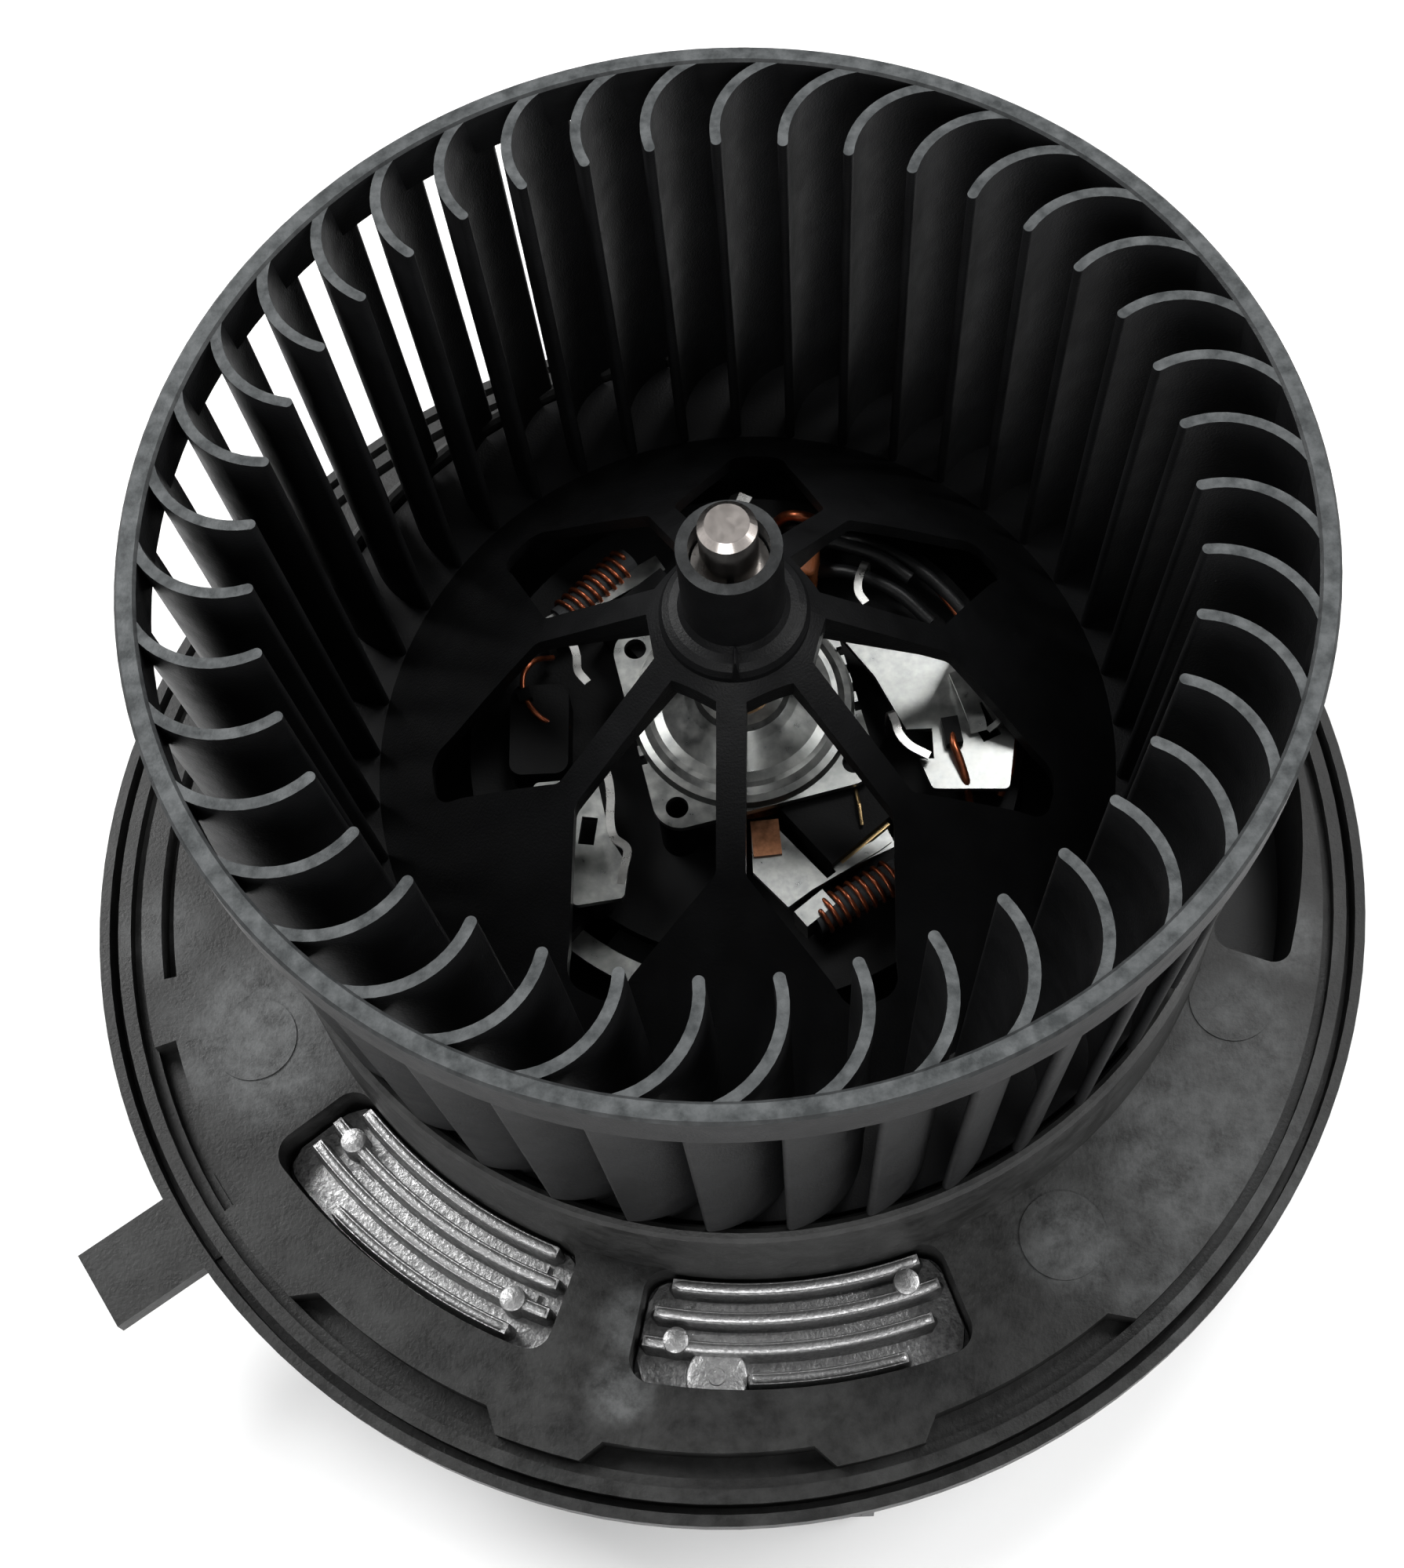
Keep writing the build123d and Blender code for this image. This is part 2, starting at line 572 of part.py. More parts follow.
CHOKE_Z, CHOKE_CORE_R, CHOKE_COIL_R = 29.2, 2.2, 3.4
CHOKE_CORE_LENGTH, CHOKE_COIL_LENGTH = 15.0, 11.6
with BuildPart() as choke_cores:
    for choke_angle in CHOKE_ANGLES:
        start_plane = Plane(
            origin=(*(level(0).origin + Vector(*at(CHOKE_R, choke_angle), CHOKE_Z)),),
            x_dir=(0, 0, 1),
            z_dir=(*at(1, choke_angle + 90), 0),
        )
        with BuildSketch(start_plane):
            Circle(CHOKE_CORE_R)
        extrude(amount=CHOKE_CORE_LENGTH / 2, both=True)
save(choke_cores.part, "choke_cores")

with BuildPart() as choke_coils:
    for choke_angle in CHOKE_ANGLES:
        start_plane = Plane(
            origin=(*(level(0).origin + Vector(*at(CHOKE_R, choke_angle), CHOKE_Z)),),
            x_dir=(0, 0, 1),
            z_dir=(*at(1, choke_angle + 90), 0),
        )
        with BuildSketch(start_plane):
            Circle(CHOKE_COIL_R)
            Circle(CHOKE_CORE_R, mode=Mode.SUBTRACT)
        extrude(amount=CHOKE_COIL_LENGTH / 2, both=True)
save(choke_coils.part, "choke_coils")

# Tinned terminal strips stand on the card and lean over at the top.
TERMINALS = ((27.5, 159.0, -50.0), (29.5, 49.0, -90.0), (26.0, -12.4, -40.0), (29.6, 216.6, -45.0))
with BuildPart() as terminal_strips:
    for strip_radius, strip_angle, turn in TERMINALS:
        sx, sy = at(strip_radius, strip_angle)
        lean = Plane(
            origin=(AXIS_X + sx, AXIS_Y + sy, CARD_TOP),
            x_dir=(*at(1, strip_angle + turn), 0),
            z_dir=(*at(1, strip_angle + turn - 90), 0),
        )
        with BuildSketch(lean):
            with BuildLine():
                Polyline(
                    (-0.4, 0),
                    (0.4, 0),
                    (0.4, 8.0),
                    (1.6, 10.0),
                    (5.0, 11.4),
                    (4.7, 12.2),
                    (1.0, 10.7),
                    (-0.4, 8.3),
                    close=True,
                )
            make_face()
        extrude(amount=1.2, both=True)
save(terminal_strips.part, "terminal_strips")

# A flat pressed bracket beside the front brush holder, on two legs.
STRAP_TOP, STRAP_THICKNESS = 31.6, 1.2
STRAP_LEGS = ((3.2, -22.0), (7.6, -27.0))
STRAP = (
    (0.6, -18.6), (4.2, -18.4), (11.6, -27.0), (13.5, -25.6), (20.9, -19.6), (21.4, -21.6), (19.6, -22.9),
    (9.4, -28.6), (5.7, -31.2), (0.7, -25.6),
)
with BuildPart() as ground_bracket:
    with BuildSketch(level(STRAP_TOP - STRAP_THICKNESS)):
        with BuildLine():
            Polyline(*STRAP, close=True)
        make_face()
    extrude(amount=STRAP_THICKNESS)
    with BuildSketch(level(CARD_TOP)):
        with Locations(*STRAP_LEGS):
            Rectangle(3.0, 1.6)
    extrude(amount=STRAP_TOP - STRAP_THICKNESS - CARD_TOP)
save(ground_bracket.part, "ground_bracket")

with BuildPart() as suppression_capacitor:
    with BuildSketch(facing(78.0, CARD_TOP)):
        with Locations((29.0, 0)):
            RectangleRounded(6.0, 13.0, 1.2)
    extrude(amount=8.0)
    fillet(suppression_capacitor.edges().group_by(Axis.Z)[-1], 0.8)
save(suppression_capacitor.part, "suppression_capacitor")

# ---------------------------------------------------------------- mounting flange
RECESS_SPANS = ((226.8, 246.0), (257.1, 276.2), (287.5, 305.8))
RECESS_IN, RECESS_OUT, RECESS_DEPTH = 92.4, 95.6, 2.0
PORT_SPAN = (338.5, 372.0)
PORT_IN, PORT_OUT, PORT_LIMIT_R = 77.8, 90.2, 94.4
TAB_ANGLE, TAB_END, TAB_WIDTH, TAB_TOP, TAB_FOOT = 213.6, 117.3, 12.9, -4.6, -8.0
FLUSH_DISCS = ((80.5, 200.4), (79.8, 307.4), (83.0, 340.2))
POST_HOLE_R = SCREW_R

PORT_WALL = 1.6
DUCT_FOOT, DUCT_SLOT = -26.0, (-17.0, -11.0)


def port_outline(grow=0.0):
    """The air port's outline about the shaft axis, or the same grown by a wall."""
    turn = grow * 0.7
    wide = sector(PORT_IN - grow, PORT_OUT + grow, PORT_SPAN[0] - turn, PORT_SPAN[1] + turn, corner=3.0)
    limit = Pos(-AXIS_X, -AXIS_Y) * Circle(PORT_LIMIT_R + grow, mode=Mode.PRIVATE)
    return wide & limit


with BuildPart() as mounting_flange:
    with BuildSketch(upright(0, 0)):
        with BuildLine():
            Polyline(
                (0, 0),
                (STEP_R, 0),
                (STEP_R, -STEP_DEPTH),
                (PILOT_INNER_R, -STEP_DEPTH),
                (PILOT_INNER_R, 0),
                (PILOT_R, 0),
                (PILOT_R, -GROOVE_DEPTH),
                (RIM_RING_INNER_R, -GROOVE_DEPTH),
                (RIM_RING_INNER_R, 0),
                (RIM_R, 0),
                (RIM_R, -RIM_WALL),
                (RIM_FOOT_R, -RIM_WALL - 0.4),
                (RIM_FOOT_R, -RIM_HEIGHT),
                (RECESS_IN - 2, -RIM_HEIGHT),
                (RECESS_IN - 2, -SKIN),
                (0, -SKIN),
                close=True,
            )
        make_face()
    revolve(axis=FLANGE_AXIS)
    with BuildSketch(level(-SKIN)):
        Circle(LIP_INNER_R)
    extrude(amount=SKIN, mode=Mode.SUBTRACT)
    # Skirts hang from the plate around the heat-sink windows.
    with BuildSketch(level(SINK_TOP)):
        for start, end in WINDOW_SPANS:
            add(sector(WINDOW_IN - 1.6, WINDOW_OUT + 1.6, start - 1.1, end + 1.1, corner=4.5))
    extrude(amount=-SINK_TOP - SKIN)
    with BuildSketch(level(-RIM_HEIGHT)):
        add(port_outline(PORT_WALL))
    extrude(amount=RIM_HEIGHT - SKIN)
    # The lip around the wheel, the dish under it and the cup for the motor.
    with BuildSketch(upright(AXIS_X, AXIS_Y)):
        with BuildLine():
            Polyline(
                (LIP_R + 0.6, -SKIN),
                (LIP_R + 0.6, 0.6),
                (LIP_R, LIP_TOP - 1.2),
                (LIP_R - 0.5, LIP_TOP - 0.3),
                (LIP_R - 1.2, LIP_TOP),
                (LIP_INNER_R + 0.5, LIP_TOP - 0.4),
                (LIP_INNER_R, LIP_TOP - 1.2),
                (LIP_INNER_R, DISH_FLOOR),
                (CUP_R, DISH_FLOOR),
                (CUP_R, BASE_Z + SKIN),
                (0, BASE_Z + SKIN),
                (0, BASE_Z),
                (CUP_R + CUP_WALL, BASE_Z),
                (CUP_R + CUP_WALL, DISH_FLOOR - SKIN),
                (LIP_INNER_R - 2, DISH_FLOOR - SKIN),
                (LIP_INNER_R - 2, -SKIN),
                close=True,
            )
        make_face()
    revolve(axis=SHAFT_AXIS)
    # Windows over the heat sink, the air port beside the motor and the bayonet recesses.
    with BuildSketch(level(SINK_TOP)):
        for start, end in WINDOW_SPANS:
            add(sector(WINDOW_IN, WINDOW_OUT, start, end, corner=3.5))
    extrude(amount=-SINK_TOP, mode=Mode.SUBTRACT)
    with BuildSketch(level(-RIM_HEIGHT)):
        add(port_outline())
    extrude(amount=RIM_HEIGHT, mode=Mode.SUBTRACT)
    # The slot through which the duct feeds the motor cup.
    with BuildSketch(level(DUCT_SLOT[0])):
        add(sector(CUP_R - 1, CUP_R + CUP_WALL + 1, PORT_SPAN[0] + 5, PORT_SPAN[1] - 5))
    extrude(amount=DUCT_SLOT[1] - DUCT_SLOT[0], mode=Mode.SUBTRACT)
    with BuildSketch(Plane.XY.offset(-SKIN - RECESS_DEPTH)):
        for start, end in RECESS_SPANS:
            add(sector(RECESS_IN, RECESS_OUT, start, end, slant=1.7))
        add(sector(RECESS_OUT - 3.4, RECESS_OUT, 197.5, 215.0))
    extrude(amount=SKIN + RECESS_DEPTH, mode=Mode.SUBTRACT)
    with BuildSketch(Plane.XY.offset(-SKIN - RECESS_DEPTH)):
        add(sector(90.4, 92.4, 160.0, 191.0))
    extrude(amount=SKIN + RECESS_DEPTH, mode=Mode.SUBTRACT)
    with BuildSketch(level(SINK_TOP)):
        with Locations(at(*LARGE_BOSS)):
            Circle(LARGE_BOSS_R + 0.4)
    extrude(amount=-SINK_TOP - SKIN, mode=Mode.SUBTRACT)
    # Flush round pads left by the mould.
    with BuildSketch(Plane.XY):
        for pad_radius, pad_angle in FLUSH_DISCS:
            with Locations(at(pad_radius, pad_angle)):
                Circle(6.6)
    extrude(amount=0.25)
    # The locking tab under the rim.
    tab_plane = Plane(origin=(0, 0, TAB_FOOT), x_dir=(*at(1, TAB_ANGLE), 0), z_dir=(0, 0, 1))
    with BuildSketch(tab_plane) as tab:
        with Locations(((RIM_R - 8 + TAB_END) / 2, 0)):
            Rectangle(TAB_END - RIM_R + 8, TAB_WIDTH)
        fillet(tab.vertices().group_by(Axis((0, 0, 0), (*at(1, TAB_ANGLE), 0)))[-1], 1.2)
    extrude(amount=TAB_TOP - TAB_FOOT)
    # Screw posts down to the heat sink.
    for (post_radius, post_angle), post_top in zip(BOX_SCREWS, POST_TOPS):
        with BuildSketch(level(SINK_TOP)):
            with Locations(at(post_radius, post_angle)):
                Circle(3.4)
        extrude(amount=post_top - SINK_TOP)
    with BuildSketch(level(SINK_TOP)):
        for post_radius, post_angle in BOX_SCREWS:
            with Locations(at(post_radius, post_angle)):
                Circle(POST_HOLE_R)
    extrude(amount=6.0, mode=Mode.SUBTRACT)
save(mounting_flange.part, "mounting_flange")

# A duct under the air port leads inwards to the slot in the motor cup.
DUCT_ROOF = -9.6
with BuildPart() as cooling_duct:
    with BuildSketch(level(DUCT_FOOT)):
        add(port_outline(PORT_WALL))
        add(sector(CUP_R + CUP_WALL, PORT_IN, PORT_SPAN[0] + 1, PORT_SPAN[1] - 1))
    extrude(amount=-RIM_HEIGHT - DUCT_FOOT)
    with BuildSketch(level(DUCT_FOOT + PORT_WALL)):
        add(port_outline())
    extrude(amount=-RIM_HEIGHT - DUCT_FOOT, mode=Mode.SUBTRACT)
    with BuildSketch(level(DUCT_FOOT + PORT_WALL)):
        add(sector(CUP_R, PORT_IN + 1, PORT_SPAN[0] + 3, PORT_SPAN[1] - 3))
    extrude(amount=DUCT_ROOF - DUCT_FOOT - PORT_WALL, mode=Mode.SUBTRACT)
save(cooling_duct.part, "cooling_duct")

# Rubber between the can and the cup, and buffers on the dish.
with BuildPart() as motor_isolators:
    for foot in (-26.0, 0.0):
        with BuildSketch(level(foot)):
            Circle(CUP_R)
            Circle(CAN_R, mode=Mode.SUBTRACT)
            with PolarLocations(CUP_R, 12):
                Circle(1.4, mode=Mode.SUBTRACT)
        extrude(amount=8.0)
    with BuildSketch(level(BASE_Z + SKIN)):
        Circle(20.0)
        Circle(10.0, mode=Mode.SUBTRACT)
    extrude(amount=CAN_FOOT - BASE_Z - SKIN)
save(motor_isolators.part, "motor_isolators")

BUFFER_R, BUFFER_ANGLES = 68.6, (303.6, 313.0, 63.6, 73.0, 183.6, 193.0)
with BuildPart() as dish_buffers:
    with BuildSketch(level(DISH_FLOOR)):
        for buffer_angle in BUFFER_ANGLES:
            with Locations(at(BUFFER_R, buffer_angle)):
                Circle(4.4)
    extrude(amount=1.6)
    with BuildSketch(level(DISH_FLOOR + 1.6)):
        for buffer_angle in BUFFER_ANGLES:
            with Locations(at(BUFFER_R, buffer_angle)):
                Circle(1.6)
    extrude(amount=1.0)
save(dish_buffers.part, "dish_buffers")

# ---------------------------------------------------------------- controller
SMALL_BOSSES = ((83.2, 220.6), (87.6, 244.3), (81.6, 285.0), (87.0, 261.0))
with BuildPart() as heat_sink:
    with BuildSketch(level(SINK_TOP - SINK_THICKNESS)):
        add(sector(BOX_IN, BOX_OUT, *BOX_SPAN, corner=3.0))
    extrude(amount=SINK_THICKNESS)
    for spans in FIN_SPANS:
        for fin_radius, (start, end) in zip(FIN_RADII, spans):
            with BuildSketch(level(SINK_TOP)):
                add(sector(fin_radius - FIN_THICKNESS / 2, fin_radius + FIN_THICKNESS / 2, start, end))
            extrude(amount=FIN_TOP - SINK_TOP)
        for fin_radius, (start, end) in zip(FIN_RADII[1:3], spans[1:3]):
            with BuildSketch(level(SINK_TOP)):
                add(sector(fin_radius - 2.6, fin_radius - FIN_THICKNESS / 2, start + 4, end - 2))
            extrude(amount=SHOULDER_TOP - SINK_TOP)
    with BuildSketch(level(SINK_TOP)):
        for boss_radius, boss_angle in SMALL_BOSSES:
            with Locations(at(boss_radius, boss_angle)):
                Circle(1.9)
    extrude(amount=FIN_TOP - SINK_TOP + 0.4)
    with BuildSketch(level(SINK_TOP)):
        with Locations(at(*LARGE_BOSS)):
            Circle(LARGE_BOSS_R)
    extrude(amount=LARGE_BOSS_TOP - SINK_TOP)
    with BuildSketch(level(SINK_TOP - SINK_THICKNESS)):
        for post_radius, post_angle in BOX_SCREWS:
            with Locations(at(post_radius, post_angle)):
                Circle(SCREW_R)
    extrude(amount=SINK_THICKNESS, mode=Mode.SUBTRACT)
save(heat_sink.part, "heat_sink")

BOX_TOP = SINK_TOP - SINK_THICKNESS
SOCKET_ANGLE, SOCKET_WIDTH, SOCKET_HEIGHT, SOCKET_DEPTH, SOCKET_Z = 270.0, 30.0, 15.0, 12.0, -24.0
SOCKET_WALL = 1.8
with BuildPart() as controller_cover:
    with BuildSketch(level(BASE_Z)):
        add(sector(BOX_IN, BOX_OUT, *BOX_SPAN, corner=3.0))
    extrude(amount=BOX_TOP - BASE_Z)
    with BuildSketch(level(BASE_Z + BOX_WALL)):
        add(sector(BOX_IN + BOX_WALL, BOX_OUT - BOX_WALL, BOX_SPAN[0] + 1.6, BOX_SPAN[1] - 1.6, corner=2.0))
    extrude(amount=BOX_TOP - BASE_Z - BOX_WALL, mode=Mode.SUBTRACT)
    with BuildSketch(level(BASE_Z)):
        for post_radius, post_angle in BOX_SCREWS:
            with Locations(at(post_radius, post_angle)):
                Circle(4.0)
    extrude(amount=BOX_TOP - BASE_Z)
    with BuildSketch(level(BASE_Z)):
        for post_radius, post_angle in BOX_SCREWS:
            with Locations(at(post_radius, post_angle)):
                Circle(SCREW_R)
    extrude(amount=BOX_TOP - BASE_Z, mode=Mode.SUBTRACT)
    with BuildSketch(level(BASE_Z)):
        for post_radius, post_angle in BOX_SCREWS:
            with Locations(at(post_radius, post_angle)):
                Circle(3.1)
    extrude(amount=3.0, mode=Mode.SUBTRACT)
    with BuildSketch(outward(SOCKET_ANGLE, BOX_OUT - BOX_WALL - 4, SOCKET_Z)):
        Rectangle(SOCKET_WIDTH, SOCKET_HEIGHT)
    extrude(amount=10, mode=Mode.SUBTRACT)
save(controller_cover.part, "controller_cover")

# The plug socket fills the cover's side opening and stands out under the rim.
SOCKET_BACK = BOX_OUT - BOX_WALL - 2.0
with BuildPart() as plug_socket:
    with BuildSketch(outward(SOCKET_ANGLE, SOCKET_BACK, SOCKET_Z)):
        Rectangle(SOCKET_WIDTH, SOCKET_HEIGHT)
    extrude(amount=SOCKET_DEPTH + 4)
    with BuildSketch(outward(SOCKET_ANGLE, SOCKET_BACK + 3, SOCKET_Z)):
        Rectangle(SOCKET_WIDTH - 2 * SOCKET_WALL, SOCKET_HEIGHT - 2 * SOCKET_WALL)
    extrude(amount=SOCKET_DEPTH + 4, mode=Mode.SUBTRACT)
    with BuildSketch(outward(SOCKET_ANGLE, SOCKET_BACK, SOCKET_Z)):
        with GridLocations(6.0, 0, 4, 1):
            Rectangle(2.4, 0.8)
    extrude(amount=4, mode=Mode.SUBTRACT)
save(plug_socket.part, "plug_socket")

with BuildPart() as socket_pins:
    with BuildSketch(outward(SOCKET_ANGLE, SOCKET_BACK - 2, SOCKET_Z)):
        with GridLocations(6.0, 0, 4, 1):
            Rectangle(2.4, 0.8)
    extrude(amount=14)
save(socket_pins.part, "socket_pins")

BOARD_TOP, BOARD_THICKNESS = -15.0, 1.6
with BuildPart() as controller_board:
    with BuildSketch(level(BOARD_TOP - BOARD_THICKNESS)):
        add(sector(BOX_IN + 3.5, BOX_OUT - 8.0, BOX_SPAN[0] + 3, BOX_SPAN[1] - 3, corner=2.0))
        for post_radius, post_angle in BOX_SCREWS:
            with Locations(at(post_radius, post_angle)):
                Circle(4.6, mode=Mode.SUBTRACT)
    extrude(amount=BOARD_THICKNESS)
save(controller_board.part, "controller_board")

TRANSISTORS = ((72.0, 226.0), (72.0, 240.0), (72.0, 266.0), (72.0, 280.0))
with BuildPart() as power_transistors:
    with BuildSketch(level(BOARD_TOP)):
        for chip_radius, chip_angle in TRANSISTORS:
            with Locations(Location((*at(chip_radius, chip_angle), 0), chip_angle)):
                Rectangle(9.0, 10.0)
    extrude(amount=BOX_TOP - BOARD_TOP)
save(power_transistors.part, "power_transistors")

CAPACITORS = ((60.0, 232.0), (60.0, 246.0), (60.0, 260.0))
with BuildPart() as board_capacitors:
    with BuildSketch(level(BOARD_TOP - BOARD_THICKNESS)):
        for can_radius, can_angle in CAPACITORS:
            with Locations(at(can_radius, can_angle)):
                Circle(5.0)
    extrude(amount=-12.0)
save(board_capacitors.part, "board_capacitors")

with BuildPart() as cover_screws:
    for post_radius, post_angle in BOX_SCREWS:
        with BuildSketch(level(BASE_Z + 3.0)):
            with Locations(at(post_radius, post_angle)):
                Circle(SCREW_R)
        extrude(amount=SINK_TOP + 5.5 - BASE_Z - 3.0)
        with BuildSketch(level(BASE_Z + 0.6)):
            with Locations(at(post_radius, post_angle)):
                Circle(3.0)
                RegularPolygon(1.3, 6, mode=Mode.SUBTRACT)
        extrude(amount=1.4)
        with BuildSketch(level(BASE_Z + 2.0)):
            with Locations(at(post_radius, post_angle)):
                Circle(3.0)
        extrude(amount=1.0)
save(cover_screws.part, "cover_screws")
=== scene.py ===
import json
from math import atan2, cos, pi, radians, sin

import bmesh
import bpy
from mathutils import Matrix, Vector


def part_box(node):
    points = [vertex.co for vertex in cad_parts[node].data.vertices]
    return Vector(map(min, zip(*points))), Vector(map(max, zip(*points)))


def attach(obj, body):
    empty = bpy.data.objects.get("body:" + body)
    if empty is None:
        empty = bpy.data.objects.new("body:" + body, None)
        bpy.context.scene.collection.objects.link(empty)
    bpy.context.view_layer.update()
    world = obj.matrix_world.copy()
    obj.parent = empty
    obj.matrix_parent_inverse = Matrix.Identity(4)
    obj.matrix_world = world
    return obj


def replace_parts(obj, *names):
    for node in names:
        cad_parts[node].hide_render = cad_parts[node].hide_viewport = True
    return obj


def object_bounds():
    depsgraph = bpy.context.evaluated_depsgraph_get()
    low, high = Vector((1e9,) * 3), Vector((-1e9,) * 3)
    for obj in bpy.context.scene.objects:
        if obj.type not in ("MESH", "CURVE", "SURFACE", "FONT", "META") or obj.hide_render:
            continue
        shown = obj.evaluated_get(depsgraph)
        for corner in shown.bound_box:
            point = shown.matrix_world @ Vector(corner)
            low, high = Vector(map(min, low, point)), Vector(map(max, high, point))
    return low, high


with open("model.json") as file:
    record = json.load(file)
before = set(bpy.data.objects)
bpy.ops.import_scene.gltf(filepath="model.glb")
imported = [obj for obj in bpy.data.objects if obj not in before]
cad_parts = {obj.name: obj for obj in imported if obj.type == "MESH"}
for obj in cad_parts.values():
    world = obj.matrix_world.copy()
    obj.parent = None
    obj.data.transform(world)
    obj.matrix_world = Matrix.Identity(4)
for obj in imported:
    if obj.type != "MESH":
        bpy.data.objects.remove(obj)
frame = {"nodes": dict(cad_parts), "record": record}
cad_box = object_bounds()
nodes = frame["nodes"]

MM = 0.001
HOUSING = "housing"

# ---------------------------------------------------------------- places read from the frame
shaft_low, shaft_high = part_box("motor_shaft")
AXIS = (shaft_low + shaft_high) / 2
AXIS_X, AXIS_Y = AXIS.x, AXIS.y
WHEEL_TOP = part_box("impeller_hoop")[1].z


# ---------------------------------------------------------------- camera
CAMERA_PLACE = (0.01172, -0.13712, 0.35083)
CAMERA_ELEVATION, CAMERA_ROLL = 62.4, -2.31
CAMERA_LENS, CAMERA_SENSOR = 52.80, 36.0
CAMERA_SHIFT = (-0.0576, -0.1186)


def add_camera():
    """The photograph's view: from above and in front, a little rolled."""
    elevation, roll = radians(CAMERA_ELEVATION), radians(CAMERA_ROLL)
    back = Vector((0, -cos(elevation), sin(elevation)))
    right = Vector((1, 0, 0))
    up = back.cross(right)
    rolled_right = right * cos(roll) + up * sin(roll)
    rolled_up = up * cos(roll) - right * sin(roll)
    data = bpy.data.cameras.new("camera")
    data.lens = CAMERA_LENS
    data.sensor_width = CAMERA_SENSOR
    data.shift_x, data.shift_y = CAMERA_SHIFT
    data.clip_start = 0.01
    data.clip_end = 20.0
    camera = bpy.data.objects.new("camera", data)
    camera.matrix_world = Matrix.Translation(CAMERA_PLACE) @ Matrix(
        (rolled_right, rolled_up, back)
    ).transposed().to_4x4()
    bpy.context.scene.collection.objects.link(camera)
    bpy.context.scene.camera = camera


add_camera()


# ---------------------------------------------------------------- light and floor
def add_light(name, place, size, power, colour=(1, 1, 1)):
    """A soft square lamp aimed at the middle of the object."""
    data = bpy.data.lights.new(name, "AREA")
    data.shape = "SQUARE"
    data.size = size
    data.energy = power
    data.color = colour
    lamp = bpy.data.objects.new(name, data)
    lamp.location = place
    aim = Vector((0.0, 0.0, 0.02)) - Vector(place)
    lamp.rotation_euler = aim.to_track_quat("-Z", "Y").to_euler()
    bpy.context.scene.collection.objects.link(lamp)


def add_studio():
    world = bpy.data.worlds.new("studio")
    world.use_nodes = True
    tree = world.node_tree
    place = tree.nodes.new("ShaderNodeTexCoord")
    split = tree.nodes.new("ShaderNodeSeparateXYZ")
    shade = tree.nodes.new("ShaderNodeValToRGB")
    tree.links.new(place.outputs["Generated"], split.inputs["Vector"])
    tree.links.new(split.outputs["Z"], shade.inputs["Fac"])
    tree.links.new(shade.outputs["Color"], tree.nodes["Background"].inputs["Color"])
    for element, (height, grey) in zip(shade.color_ramp.elements, ((0.1, 1.0), (0.75, 0.22))):
        element.position = height
        element.color = (grey, grey, grey, 1.0)
    tree.nodes["Background"].inputs["Strength"].default_value = 0.85
    bpy.context.scene.world = world
    bpy.context.scene.view_settings.view_transform = "Standard"
    add_light("key", (-0.7, 0.5, 0.8), 0.6, 15.0)
    add_light("fill", (0.9, 0.1, 0.7), 0.6, 9.0)
    add_light("front", (-0.15, -1.0, 0.6), 0.8, 9.0)
    add_light("top", (0.35, 0.5, 1.2), 0.35, 5.0)
    material = bpy.data.materials.new("floor_white")
    material.use_nodes = True
    shader = material.node_tree.nodes["Principled BSDF"]
    shader.inputs["Base Color"].default_value = (0.93, 0.93, 0.93, 1.0)
    shader.inputs["Roughness"].default_value = 0.9
    mesh = bpy.data.meshes.new("floor")
    reach, level = 4.0, cad_box[0][2]
    mesh.from_pydata(
        [(-reach, -reach, level), (reach, -reach, level), (reach, reach, level), (-reach, reach, level)],
        [], [(0, 1, 2, 3)],
    )
    mesh.materials.append(material)
    floor = bpy.data.objects.new("floor", mesh)
    bpy.context.scene.collection.objects.link(floor)


add_studio()


